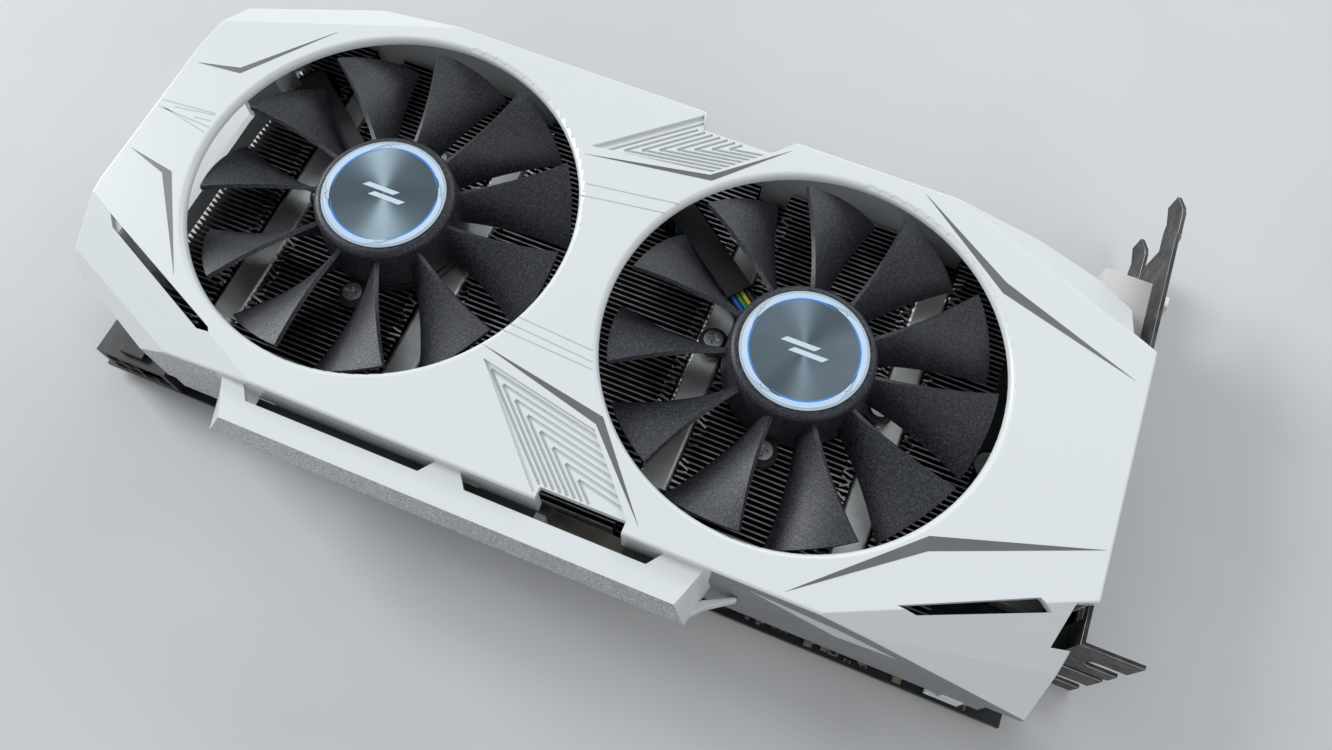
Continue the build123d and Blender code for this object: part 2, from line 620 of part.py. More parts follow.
def pcb():
    """Board with the edge connector's two tongues, its key and its hook notch."""
    bevel_y = FINGER_FAR_Y - 0.8
    key_y = BOARD_FAR_Y + 0.6
    notch_y = BOARD_FAR_Y - 2.4
    hook_y = FINGER_FAR_Y - 2.2
    outline = [
        (BOARD_LEFT_X, BOARD_NEAR_Y), (BOARD_RIGHT_X, BOARD_NEAR_Y), (BOARD_RIGHT_X, BOARD_FAR_Y),
        (84.0, BOARD_FAR_Y), (79.85, BOARD_FAR_Y + 1.15), (79.85, bevel_y), (79.05, FINGER_FAR_Y),
        (69.0, FINGER_FAR_Y), (68.2, bevel_y), (68.2, key_y), (66.3, key_y),
        (66.3, bevel_y), (65.5, FINGER_FAR_Y), (-4.55, FINGER_FAR_Y), (-5.35, bevel_y), (-5.35, notch_y),
        (-8.0, notch_y), (-8.0, hook_y), (-15.0, hook_y), (-18.5, BOARD_FAR_Y), (BOARD_LEFT_X, BOARD_FAR_Y),
    ]
    board = prism(outline, BOARD_Z, BOARD_TOP_Z)
    for x, y in cooler_screw_places():
        board -= disc(x, y, BOARD_Z - 1, BOARD_TOP_Z + 1, SPRING_SCREW_RADIUS)
    for x, y in BOSS_PLACES:
        board -= disc(x, y, BOARD_Z - 1, BOARD_TOP_Z + 1, SHROUD_SCREW_RADIUS)
    for x, y in TAB_PLACES:
        board -= disc(x, y, BOARD_Z - 1, BOARD_TOP_Z + 1, SHROUD_SCREW_RADIUS)
    return board


def edge_contacts():
    """Gold contact pads on both faces of the edge connector."""
    pads = []
    first = [-4.0 + pitch for pitch in range(0, 70)]
    second = [69.4 + pitch for pitch in range(0, 10)]
    for x in first + second:
        for z in (BOARD_TOP_Z, BOARD_Z - 0.05):
            pads.append(block(x, x + 0.7, FINGER_FAR_Y - 6.0, FINGER_FAR_Y - 1.0, z, z + 0.05))
    return group(pads)


def chips(places, width, depth, z0, z1):
    return group(block(x - width / 2, x + width / 2, y - depth / 2, y + depth / 2, z0, z1) for x, y in places)


def chokes():
    """Square inductors with chamfered tops."""
    solids = []
    for x, y in CHOKE_PLACES:
        body = block(x - 5, x + 5, y - 5, y + 5, BOARD_TOP_Z, 8.4)
        solids.append(chamfer(body.edges().group_by(Axis.Z)[-1], 0.8))
    return group(solids)


def capacitors():
    return group(disc(x, y, BOARD_TOP_Z, 8.6, 3.4) for x, y in CAPACITOR_PLACES)


def vrm_heatsink():
    """Low comb over the power stages."""
    sink = block(-78.0, -70.0, -45.0, 37.0, 5.6, 6.6)
    for step in range(28):
        y = -44.6 + 3 * step
        sink += block(-78.0, -70.0, y, y + 0.8, 6.6, 8.7)
    return sink


def power_cells():
    centre_x = (POWER_X[0] + POWER_X[1]) / 2
    centre_z = (POWER_Z[0] + POWER_Z[1]) / 2
    for column in range(4):
        for row in range(2):
            yield centre_x + (column - 1.5) * POWER_PITCH, centre_z + (row - 0.5) * POWER_PITCH


def power_connector():
    """Eight-way header, its cells open towards the power side, with a latch ramp on top."""
    body = block(*POWER_X, *POWER_Y, *POWER_Z)
    centre_x = (POWER_X[0] + POWER_X[1]) / 2
    for x, z in power_cells():
        body -= block(x - POWER_CELL / 2, x + POWER_CELL / 2, POWER_Y[0] - 1, POWER_Y[1] - 1.6,
                      z - POWER_CELL / 2, z + POWER_CELL / 2)
    latch_y = POWER_Y[0] + 1.5
    body += block(centre_x - 3.2, centre_x + 3.2, latch_y, latch_y + 3.0, POWER_Z[1], POWER_Z[1] + 1.6)
    return body


def power_pins():
    """Pins in the header's cells, bent down through its back wall into the board."""
    pins = []
    for x, z in power_cells():
        pins.append(block(x - 0.5, x + 0.5, POWER_Y[0] + 3, POWER_Y[1] - 1.6, z - 0.5, z + 0.5))
    return group(pins)


# ---- bracket and sockets
TAB_PLACES = ((119.0, -33.5),)
SLOT_CENTRES_Z = (9.21, 29.53)
TONGUE_WIDTH = 10.19
VENT_ROWS_Z = (20.6, 25.4, 30.2, 35.0)


def io_bracket():
    """Two-slot steel bracket with board tabs, socket windows, vents, joggled tongues and a slotted flange."""
    inner_x = RIGHT_X - BRACKET_THICKNESS
    plate = block(inner_x, RIGHT_X, BRACKET_NEAR_Y, 65.5, 0.0, BRACKET_HEIGHT)
    plate -= block(inner_x - 1, RIGHT_X + 1, 62.5, 70.0, 16.6, 22.1)
    flange = block(inner_x, FLANGE_X, BRACKET_NEAR_Y, BRACKET_NEAR_Y + BRACKET_THICKNESS, 0.0, BRACKET_HEIGHT)
    for z in SLOT_CENTRES_Z:
        plate += tongue(z)
        flange -= block(133.0, FLANGE_X + 1, -45, -30, z - 3.9, z + 0.7)
        flange -= Pos(133.0, -38.5, z - 1.6) * Rot(90, 0, 0) * Cylinder(2.3, 5)
    flange -= block(128.5, FLANGE_X + 1, -45, -30, 18.3, 20.4)
    plate += flange
    for x, y in TAB_PLACES:
        tab = block(115.0, inner_x, y - 3.6, y + 3.6, BOARD_TOP_Z, BOARD_TOP_Z + BRACKET_THICKNESS)
        plate += tab - disc(x, y, 0, 10, SHROUD_SCREW_RADIUS)
    for z in DVI_HEIGHTS:
        plate -= block(120, 130, DVI_Y - 13.4, DVI_Y + 13.4, z - 4.9, z + 4.9)
        for y in (DVI_Y - DVI_SCREW_PITCH / 2, DVI_Y + DVI_SCREW_PITCH / 2):
            plate -= rod_x(120, 130, y, z, 1.7)
    plate -= block(120, 130, HDMI_Y - 7.8, HDMI_Y + 7.8, SOCKET_Z - 3.1, SOCKET_Z + 3.1)
    plate -= block(120, 130, DISPLAYPORT_Y - 8.4, DISPLAYPORT_Y + 8.4, SOCKET_Z - 3.1, SOCKET_Z + 3.1)
    for z in VENT_ROWS_Z:
        for step in range(5):
            y = -33.0 + 9.6 * step
            if y < 12.0:
                plate -= block(120, 130, y, y + 7.6, z - 1.4, z + 1.4)
    return plate


def tongue(z):
    """One tongue: it steps outwards past the plate's end and narrows to a tip."""
    inner_x = RIGHT_X - BRACKET_THICKNESS
    step_x = 1.7
    profile = [
        (inner_x, 65.0), (inner_x + step_x, 67.4), (inner_x + step_x, 77.4), (inner_x + 0.6, BRACKET_TIP_Y),
        (RIGHT_X + 0.6, BRACKET_TIP_Y), (RIGHT_X + step_x, 77.4), (RIGHT_X + step_x, 67.0), (RIGHT_X, 64.6),
    ]
    body = prism(profile, z - TONGUE_WIDTH / 2, z + TONGUE_WIDTH / 2)
    for side in (-1, 1):
        corner = [(75.0, side * 9), (75.0, side * TONGUE_WIDTH / 2), (BRACKET_TIP_Y + 0.1, side * 2.6),
                  (BRACKET_TIP_Y + 0.1, side * 9)]
        across = Plane(origin=(120, 0, z), x_dir=(0, 1, 0), z_dir=(1, 0, 0))
        body -= extrude(across * Polygon(*corner, align=None), 12, dir=(1, 0, 0))
    return body


def bracket_screws():
    """Screws from the back of the board into the bracket's tabs."""
    return group(disc(x, y, 0.9, BOARD_Z, 2.4) + disc(x, y, BOARD_Z, 5.0, SHROUD_SCREW_RADIUS)
                 for x, y in TAB_PLACES)


def shroud_screws():
    return group(disc(x, y, 0.9, BOARD_Z, 2.4) + disc(x, y, BOARD_Z, 10.0, SHROUD_SCREW_RADIUS)
                 for x, y in BOSS_PLACES)


def shell_section(x, z, half_width, half_height, slant):
    """A rounded trapezium on the plane x, wider at the top."""
    points = [(-half_width + slant, -half_height), (half_width - slant, -half_height),
              (half_width, half_height), (-half_width, half_height)]
    plane = Plane(origin=(x, DVI_Y, z), x_dir=(0, 1, 0), z_dir=(1, 0, 0))
    return plane * fillet(Polygon(*points, align=None).vertices(), 1.2)


def dvi_housing():
    """One moulded body that carries both stacked sockets."""
    body = block(108.0, 125.3, DVI_Y - 19.0, DVI_Y + 18.4, BOARD_TOP_Z, 17.6)
    body += block(113.6, 125.3, DVI_Y - 19.0, DVI_Y + 18.4, 17.6, 31.0)
    for z in DVI_HEIGHTS:
        body += extrude(shell_section(125.3, z, 11.4, 3.2, 1.2), 2.9, dir=(1, 0, 0))
        for y in (DVI_Y - DVI_SCREW_PITCH / 2, DVI_Y + DVI_SCREW_PITCH / 2):
            body -= rod_x(118.0, 126.0, y, z, 1.4)
    return body


def dvi_shells():
    """Metal collar round each socket face."""
    shells = []
    for z in DVI_HEIGHTS:
        collar = extrude(shell_section(125.3, z, 12.6, 4.3, 1.2), 3.3, dir=(1, 0, 0))
        collar -= extrude(shell_section(125.0, z, 11.9, 3.6, 1.2), 5.0, dir=(1, 0, 0))
        shells.append(collar)
    return group(shells)


def dvi_standoffs():
    """Hexagonal threaded standoffs beside each socket."""
    posts = []
    for z in DVI_HEIGHTS:
        for y in (DVI_Y - DVI_SCREW_PITCH / 2, DVI_Y + DVI_SCREW_PITCH / 2):
            plane = Plane(origin=(RIGHT_X, y, z), x_dir=(0, 1, 0), z_dir=(1, 0, 0))
            post = extrude(plane * RegularPolygon(2.75, 6), 4.6, dir=(1, 0, 0))
            post += rod_x(119.0, RIGHT_X, y, z, 1.4)
            posts.append(post - rod_x(123.4, 132.0, y, z, 1.15))
    return group(posts)


def socket_shell(y, half_width, half_height, wall):
    """A folded metal shell, open at the front, standing on the board."""
    shell = block(114.0, 127.2, y - half_width, y + half_width, SOCKET_Z - half_height, SOCKET_Z + half_height)
    shell -= block(116.0, 128.0, y - half_width + wall, y + half_width - wall,
                   SOCKET_Z - half_height + wall, SOCKET_Z + half_height - wall)
    for side in (-1, 1):
        shell += block(115.0, 118.0, y + side * (half_width - 0.5) - 0.3, y + side * (half_width - 0.5) + 0.3,
                       BOARD_TOP_Z, SOCKET_Z - half_height)
    return shell


def hdmi_connector():
    return socket_shell(HDMI_Y, 7.5, 2.8, 0.4)


def displayport_connector():
    return socket_shell(DISPLAYPORT_Y, 8.1, 2.8, 0.4)


# ---- assembly
def assembly():
    pipes = [heat_pipe(index) for index in range(len(PIPE_BAND_X))]
    gpu_top = BOARD_TOP_Z + 1.3
    parts = {
        "shroud": shroud(),
        "heatsink_fins": heatsink_fins(),
        "base_plate": base_plate(pipes),
        "spring_screws": spring_screws(),
        "cooler_springs": cooler_springs(),
        "retention_plate": retention_plate(),
        "pcb": pcb(),
        "edge_contacts": edge_contacts(),
        "gpu_package": block(GPU_X - 20, GPU_X + 20, -20, 20, BOARD_TOP_Z, gpu_top),
        "gpu_die": block(GPU_X - 11.5, GPU_X + 11.5, -12, 12, gpu_top, COLD_PLATE_Z),
        "memory_chips": chips(MEMORY_PLACES, 12, 14, BOARD_TOP_Z, BOARD_TOP_Z + CHIP_HEIGHT),
        "mosfets": chips(MOSFET_PLACES, 5, 6, BOARD_TOP_Z, BOARD_TOP_Z + 1),
        "thermal_pads": chips(MOSFET_PLACES, 6, 8, BOARD_TOP_Z + 1, 5.6),
        "chokes": chokes(),
        "capacitors": capacitors(),
        "vrm_heatsink": vrm_heatsink(),
        "power_connector": power_connector(),
        "power_pins": power_pins(),
        "io_bracket": io_bracket(),
        "bracket_screws": bracket_screws(),
        "shroud_screws": shroud_screws(),
        "dvi_housing": dvi_housing(),
        "dvi_shells": dvi_shells(),
        "dvi_standoffs": dvi_standoffs(),
        "hdmi_connector": hdmi_connector(),
        "displayport_connector": displayport_connector(),
    }
    for index, pipe in enumerate(pipes):
        parts[f"heat_pipe_{index + 1}"] = pipe
    makers = (fan_rotor, hub_label, rotor_yoke, magnet_ring, rotor_shaft, fan_frame, shaft_bearing, driver_board,
              stator_core, stator_coils, fan_screws, fan_mount_pads, fan_cable, fan_plug)
    for side, name in ((-1, "left"), (1, "right")):
        for make in makers:
            parts[f"{make.__name__}_{name}"] = make(side)
    return parts


def main():
    os.makedirs("parts", exist_ok=True)
    parts = assembly()
    box = Compound(children=[Compound(children=shape.solids()) for shape in parts.values()]).bounding_box()
    shift = Pos(-(box.min.X + box.max.X) / 2, -(box.min.Y + box.max.Y) / 2, -box.min.Z)
    print("moved by", tuple(round(value, 4) for value in shift.position), "size", box.size)
    print("wire bend radius", WIRE_BEND, "for wire diameter", 2 * WIRE_RADIUS)
    for name, shape in parts.items():
        export_step(shift * Compound(children=shape.solids()), f"parts/{name}.step")


main()
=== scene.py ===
import json
import math
import random

import bmesh
import bpy
from mathutils import Matrix, Vector


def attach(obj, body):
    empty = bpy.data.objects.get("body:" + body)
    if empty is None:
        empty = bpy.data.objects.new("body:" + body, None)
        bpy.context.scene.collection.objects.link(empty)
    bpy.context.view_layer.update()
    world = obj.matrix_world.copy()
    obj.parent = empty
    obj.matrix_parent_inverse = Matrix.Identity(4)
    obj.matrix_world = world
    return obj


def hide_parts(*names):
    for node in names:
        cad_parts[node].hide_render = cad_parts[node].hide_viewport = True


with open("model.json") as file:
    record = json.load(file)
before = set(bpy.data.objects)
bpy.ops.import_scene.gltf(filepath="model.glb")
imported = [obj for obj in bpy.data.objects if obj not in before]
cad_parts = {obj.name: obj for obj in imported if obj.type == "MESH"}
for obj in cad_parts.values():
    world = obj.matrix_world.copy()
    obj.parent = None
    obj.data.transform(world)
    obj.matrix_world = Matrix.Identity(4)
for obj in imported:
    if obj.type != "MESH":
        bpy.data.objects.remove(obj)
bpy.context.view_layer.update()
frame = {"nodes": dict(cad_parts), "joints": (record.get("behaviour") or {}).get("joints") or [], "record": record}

MM = 0.001
NODES = frame["nodes"]
FANS = {joint["child"]: Vector(joint["pos_m"]) for joint in frame["joints"]}
CENTRE = (FANS["fan_left"] + FANS["fan_right"]) / 2
FAN_X = (FANS["fan_right"].x - FANS["fan_left"].x) / 2 / MM
SIDES = {"left": -1, "right": 1}

# heights and faces of the card in millimetres
TOP_Z = 42.0
NEAR_Y = -54.0
BOARD_TOP_Z = 4.0
FIN_TOP_Z = 25.0


def at(x, y, z=0.0):
    """Millimetres from the midpoint between the fans, z above the floor, as a point of the frame."""
    return Vector((CENTRE.x + x * MM, CENTRE.y + y * MM, z * MM))


# ---------------------------------------------------------------- materials
class Shader:
    """A node material built up socket by socket."""

    def __init__(self, name, color=(0.5, 0.5, 0.5), roughness=0.5, metallic=0.0, **sockets):
        self.material = bpy.data.materials.new(name)
        self.material.use_nodes = True
        self.tree = self.material.node_tree
        self.nodes = self.tree.nodes
        self.bsdf = self.nodes["Principled BSDF"]
        self.set("Base Color", (*color, 1.0))
        self.set("Roughness", roughness)
        self.set("Metallic", metallic)
        for socket, value in sockets.items():
            self.set(socket.replace("_", " "), value)
        self.material.diffuse_color = (*color, 1.0)

    def set(self, socket, value):
        self.bsdf.inputs[socket].default_value = value

    def add(self, kind, **values):
        node = self.nodes.new(kind)
        for key, value in values.items():
            if key[0].isupper() or key[0].isdigit():
                node.inputs[key.replace("_", " ")].default_value = value
            else:
                setattr(node, key, value)
        return node

    def link(self, a, b):
        self.tree.links.new(a, b)

    def coordinates(self, scale=(1, 1, 1), rotation=(0, 0, 0), location=(0, 0, 0)):
        source = self.add("ShaderNodeTexCoord")
        mapping = self.add("ShaderNodeMapping", Scale=scale, Rotation=rotation, Location=location)
        self.link(source.outputs["Object"], mapping.inputs["Vector"])
        return mapping.outputs["Vector"]

    def noise(self, scale, detail=4.0, rough=0.55, vector=None):
        node = self.add("ShaderNodeTexNoise", Scale=scale, Detail=detail, Roughness=rough)
        self.link(vector or self.coordinates(), node.inputs["Vector"])
        return node.outputs["Fac"]

    def ramp(self, factor, low, high, *stops):
        node = self.add("ShaderNodeValToRGB")
        elements = node.color_ramp.elements
        elements[0].position, elements[1].position = low, high
        while len(elements) < len(stops):
            elements.new(1.0)
        for element, color in zip(elements, stops):
            element.color = (*color, 1.0)
        self.link(factor, node.inputs["Fac"])
        return node.outputs["Color"]

    def spread(self, factor, low, high, from_low=0.3, from_high=0.7):
        node = self.add("ShaderNodeMapRange")
        limits = {"From Min": from_low, "From Max": from_high, "To Min": low, "To Max": high}
        for key, value in limits.items():
            node.inputs[key].default_value = value
        self.link(factor, node.inputs["Value"])
        return node.outputs["Result"]

    def mottle(self, color_a, color_b, scale, low=0.35, high=0.65, vector=None):
        self.link(self.ramp(self.noise(scale, vector=vector), low, high, color_a, color_b),
                  self.bsdf.inputs["Base Color"])
        return self

    def uneven(self, low, high, scale, vector=None):
        self.link(self.spread(self.noise(scale, vector=vector), low, high), self.bsdf.inputs["Roughness"])
        return self

    def bump(self, factor, strength, distance_mm, previous=None):
        node = self.add("ShaderNodeBump", Strength=strength, Distance=distance_mm * MM)
        self.link(factor, node.inputs["Height"])
        if previous:
            self.link(previous, node.inputs["Normal"])
        self.link(node.outputs["Normal"], self.bsdf.inputs["Normal"])
        return node.outputs["Normal"]


def plastic(name, color_a, color_b, rough, grain, strength, **sockets):
    """Moulded plastic: slow colour drift, uneven gloss and a fine moulded grain."""
    shader = Shader(name, color_a, sum(rough) / 2, **sockets)
    shader.mottle(color_a, color_b, 35)
    shader.uneven(*rough, 220)
    shader.bump(shader.noise(grain, 3), strength, 0.05)
    return shader


def metal(name, color_a, color_b, rough, stretch=(1, 1, 1), grain=900, strength=0.15, **sockets):
    """Metal with a directional grain and small tarnish patches."""
    shader = Shader(name, color_a, sum(rough) / 2, 1.0, **sockets)
    shader.mottle(color_a, color_b, 140)
    brushed = shader.coordinates(stretch)
    shader.uneven(*rough, grain, vector=brushed)
    shader.bump(shader.noise(grain, 2, vector=brushed), strength, 0.02)
    return shader


# slot: name, darker and lighter colour, roughness range, grain scale and depth, other sockets
PLASTICS = {
    "white": ("shroud_white", (0.755, 0.775, 0.77), (0.76, 0.78, 0.775), (0.25, 0.27), 2600, 0.03,
              {"Coat_Weight": 0.1, "Coat_Roughness": 0.2, "IOR": 1.45}),
    "paint": ("silver_paint", (0.25, 0.255, 0.27), (0.3, 0.305, 0.32), (0.34, 0.46), 3500, 0.2,
              {"Metallic": 0.4}),
    "black": ("black_plastic", (0.012, 0.012, 0.013), (0.02, 0.02, 0.021), (0.4, 0.55), 3800, 0.4, {}),
    "board": ("board_black", (0.008, 0.01, 0.01), (0.014, 0.017, 0.017), (0.3, 0.42), 900, 0.3,
              {"Coat_Weight": 0.2}),
    "chip": ("chip_epoxy", (0.02, 0.02, 0.022), (0.03, 0.03, 0.032), (0.5, 0.65), 6000, 0.4, {}),
    "socket": ("socket_white", (0.62, 0.61, 0.56), (0.7, 0.69, 0.64), (0.35, 0.5), 2400, 0.3, {}),
    "green": ("package_green", (0.03, 0.10, 0.05), (0.045, 0.14, 0.07), (0.35, 0.5), 2600, 0.2, {}),
    "silicon": ("die_silicon", (0.05, 0.05, 0.065), (0.07, 0.07, 0.09), (0.08, 0.14), 500, 0.03, {}),
    "pad": ("thermal_pad", (0.3, 0.33, 0.37), (0.36, 0.39, 0.42), (0.7, 0.85), 2600, 0.4, {}),
    "choke": ("choke_powder", (0.06, 0.06, 0.062), (0.1, 0.1, 0.1), (0.55, 0.7), 3600, 0.6, {}),
    "ferrite": ("ferrite", (0.05, 0.05, 0.052), (0.08, 0.08, 0.08), (0.6, 0.75), 3000, 0.5, {}),
    "ring": ("label_ring", (0.55, 0.68, 0.85), (0.66, 0.77, 0.92), (0.2, 0.3), 800, 0.05,
             {"Coat_Weight": 0.4}),
    "arc": ("label_arc", (0.04, 0.27, 0.75), (0.06, 0.35, 0.85), (0.2, 0.3), 800, 0.05,
            {"Coat_Weight": 0.4}),
    "mark": ("label_mark", (0.62, 0.72, 0.78), (0.7, 0.8, 0.85), (0.2, 0.3), 800, 0.05, {}),
    "rim": ("label_rim", (0.42, 0.53, 0.6), (0.5, 0.6, 0.67), (0.2, 0.3), 800, 0.05,
            {"Coat_Weight": 0.4}),
    "chevron": ("chevron_paint", (0.155, 0.158, 0.168), (0.185, 0.188, 0.198), (0.36, 0.46), 3500, 0.15,
                {"Metallic": 0.35}),
    "line": ("line_grey", (0.5, 0.53, 0.55), (0.56, 0.59, 0.6), (0.3, 0.45), 1200, 0.1, {}),
    # painted shade: the groove floors are a darker grey than the white shroud
    "groove_shade": ("groove_floor_shade", (0.6, 0.62, 0.625), (0.63, 0.65, 0.655), (0.3, 0.4), 1200, 0.1, {}),
    "dust": ("dust", (0.05, 0.06, 0.055), (0.32, 0.29, 0.23), (0.8, 0.95), 1800, 0.8, {}),
    # black patches standing for the shade inside the socket holes: painted shade
    "hole_shade": ("hole_shade_black", (0.01, 0.01, 0.01), (0.015, 0.015, 0.015), (0.6, 0.7), 2000, 0.1, {}),
    "ceramic": ("ceramic", (0.25, 0.17, 0.1), (0.32, 0.23, 0.14), (0.4, 0.55), 3000, 0.2, {}),
}
ACROSS_FINS = (1, 30, 30)
ALONG_PIPES = (30, 1, 30)
UPRIGHT = (1, 1, 30)
# slot: name, darker and lighter colour, roughness range, other arguments of metal()
METALS = {
    "steel": ("plated_steel", (0.5, 0.5, 0.49), (0.62, 0.62, 0.6), (0.25, 0.38), {}),
    # the fin metal is darkened far below bare aluminium: painted shade between the fins
    "fin": ("fin_aluminium", (0.09, 0.092, 0.095), (0.15, 0.152, 0.155), (0.4, 0.55),
            {"stretch": ACROSS_FINS}),
    "nickel": ("nickel_plate", (0.62, 0.62, 0.59), (0.78, 0.775, 0.745), (0.34, 0.5),
               {"stretch": ALONG_PIPES}),
    "copper": ("copper", (0.6, 0.29, 0.17), (0.7, 0.38, 0.24), (0.28, 0.42), {}),
    "brass": ("sleeve_bronze", (0.5, 0.36, 0.16), (0.6, 0.45, 0.22), (0.35, 0.5), {}),
    "gold": ("gold_flash", (0.75, 0.52, 0.17), (0.83, 0.62, 0.25), (0.2, 0.3), {}),
    "can": ("capacitor_can", (0.55, 0.55, 0.56), (0.65, 0.65, 0.66), (0.3, 0.42), {"stretch": UPRIGHT}),
    "anodised": ("anodised_black", (0.03, 0.03, 0.032), (0.05, 0.05, 0.052), (0.35, 0.5), {}),
    "bare_edge": ("worn_edge", (0.42, 0.41, 0.4), (0.6, 0.59, 0.57), (0.3, 0.5), {}),
    # a lighter copy of the fin metal for the fin tops: painted highlight
    "fin_top_highlight": ("fin_top_highlight", (0.2, 0.2, 0.2), (0.5, 0.5, 0.49), (0.4, 0.55), {"stretch": ACROSS_FINS}),
    "crimp": ("crimped_fin", (0.12, 0.12, 0.12), (0.75, 0.74, 0.7), (0.25, 0.5),
              {"grain": 1400, "strength": 0.6}),
}
# in the order in which they lie side by side on the arm
WIRE_COLOURS = {
    "wire_black": (0.02, 0.02, 0.02), "wire_yellow": (0.6, 0.5, 0.04), "wire_green": (0.04, 0.3, 0.1),
    "wire_blue": (0.03, 0.12, 0.5),
}
MATERIALS = {}


def make_materials():
    for slot, (name, darker, lighter, rough, grain, strength, sockets) in PLASTICS.items():
        MATERIALS[slot] = plastic(name, darker, lighter, rough, grain, strength, **sockets).material
    for slot, (name, darker, lighter, rough, more) in METALS.items():
        MATERIALS[slot] = metal(name, darker, lighter, rough, **more).material
    for wire, color in WIRE_COLOURS.items():
        lighter = tuple(channel * 1.3 + 0.01 for channel in color)
        MATERIALS[wire] = plastic(wire, color, lighter, (0.35, 0.45), 1800, 0.1).material
    MATERIALS["fan"] = sandy_plastic()
    MATERIALS["bracket"] = bracket_coat()
    MATERIALS["label"] = label_metal()
    MATERIALS["speckle"] = speckled_paint()


def label_metal():
    """Blue-grey metal brushed round its centre, so the light spreads in wedges."""
    shader = Shader("label_metal", (0.18, 0.235, 0.27), 0.46, 0.9, Anisotropic=0.85)
    shader.mottle((0.155, 0.2, 0.23), (0.19, 0.245, 0.28), 60)
    tangent = shader.add("ShaderNodeTangent", direction_type="RADIAL", axis="Z")
    shader.link(tangent.outputs["Tangent"], shader.bsdf.inputs["Tangent"])
    return shader.material


def bracket_coat():
    """Black coat over steel with scuffs where it has rubbed through."""
    shader = Shader("bracket_coat", (0.03, 0.03, 0.032), 0.42, 0.3)
    shader.mottle((0.022, 0.022, 0.024), (0.075, 0.072, 0.068), 260, 0.45, 0.72)
    shader.uneven(0.34, 0.55, 400)
    shader.bump(shader.noise(2600, 4), 0.35, 0.05)
    return shader.material


def sandy_plastic():
    """Charcoal moulding with a coarse spark-eroded texture that glitters where it faces the light."""
    shader = Shader("fan_black", (0.026, 0.027, 0.035), 0.46)
    shader.mottle((0.01, 0.011, 0.015), (0.056, 0.058, 0.073), 2000, 0.44, 0.7)
    shader.uneven(0.36, 0.58, 2900)
    shader.bump(shader.noise(2700, 3), 0.9, 0.06)
    return shader.material


def speckled_paint():
    """Silver-grey paint with bright flakes in it."""
    shader = Shader("speckled_paint", (0.45, 0.45, 0.48), 0.42, 0.35)
    shader.mottle((0.36, 0.36, 0.39), (0.85, 0.85, 0.88), 2100, 0.42, 0.68)
    shader.uneven(0.3, 0.5, 1800)
    shader.bump(shader.noise(3200, 3), 0.35, 0.04)
    return shader.material


# ---------------------------------------------------------------- camera and light
def camera_and_light():
    data = bpy.data.cameras.new("camera")
    camera = bpy.data.objects.new("camera", data)
    bpy.context.scene.collection.objects.link(camera)
    data.lens = 27.33
    data.sensor_width = 36.0
    data.clip_start = 0.01
    back = Vector((0.1258, -0.3724, 0.9195)).normalized()
    right = Vector((0.9269, 0.3744, 0.0249))
    right = (right - back * right.dot(back)).normalized()
    up = back.cross(right)
    turn = Matrix((right, up, back)).transposed().to_4x4()
    camera.matrix_world = Matrix.Translation(at(54.20, -100.12, 245.72)) @ turn
    bpy.context.scene.camera = camera

    world = bpy.data.worlds.new("studio")
    bpy.context.scene.world = world
    world.use_nodes = True
    background = world.node_tree.nodes["Background"]
    background.inputs["Color"].default_value = (0.86, 0.92, 1.0, 1.0)
    background.inputs["Strength"].default_value = 0.44
    lamps = (
        ("key", (-1.7, 0.35, 1.0), (0.7, 0.9), 30.0, (0.95, 0.98, 1.0)),
        ("fill", (0.55, -0.25, 0.6), (0.5, 0.5), 1.2, (1.0, 0.98, 0.95)),
        ("rim", (0.2, 0.75, 0.5), (0.9, 0.25), 3.0, (0.93, 0.97, 1.0)),
    )
    for name, place, size, power, color in lamps:
        lamp = bpy.data.lights.new(name, "AREA")
        lamp.shape = "RECTANGLE"
        lamp.size, lamp.size_y = size
        lamp.energy = power
        lamp.color = color
        holder = bpy.data.objects.new(name, lamp)
        bpy.context.scene.collection.objects.link(holder)
        holder.location = place
        holder.rotation_euler = (Vector((0, 0, 0.02)) - Vector(place)).to_track_quat("-Z", "Y").to_euler()
    bpy.context.scene.view_settings.view_transform = "Standard"


def floor():
    mesh = bpy.data.meshes.new("floor")
    half = 1.6
    corners = [(-half, -half, 0), (half, -half, 0), (half, half, 0), (-half, half, 0)]
    mesh.from_pydata(corners, [], [(0, 1, 2, 3)])
    plane = bpy.data.objects.new("floor", mesh)
    bpy.context.scene.collection.objects.link(plane)
    plane.location.z = -0.2 * MM
    shader = Shader("floor_pale", (0.62, 0.61, 0.6), 0.6)
    shader.mottle((0.6, 0.595, 0.585), (0.64, 0.635, 0.63), 8)
    shader.bump(shader.noise(400, 3), 0.1, 0.1)
    mesh.materials.append(shader.material)


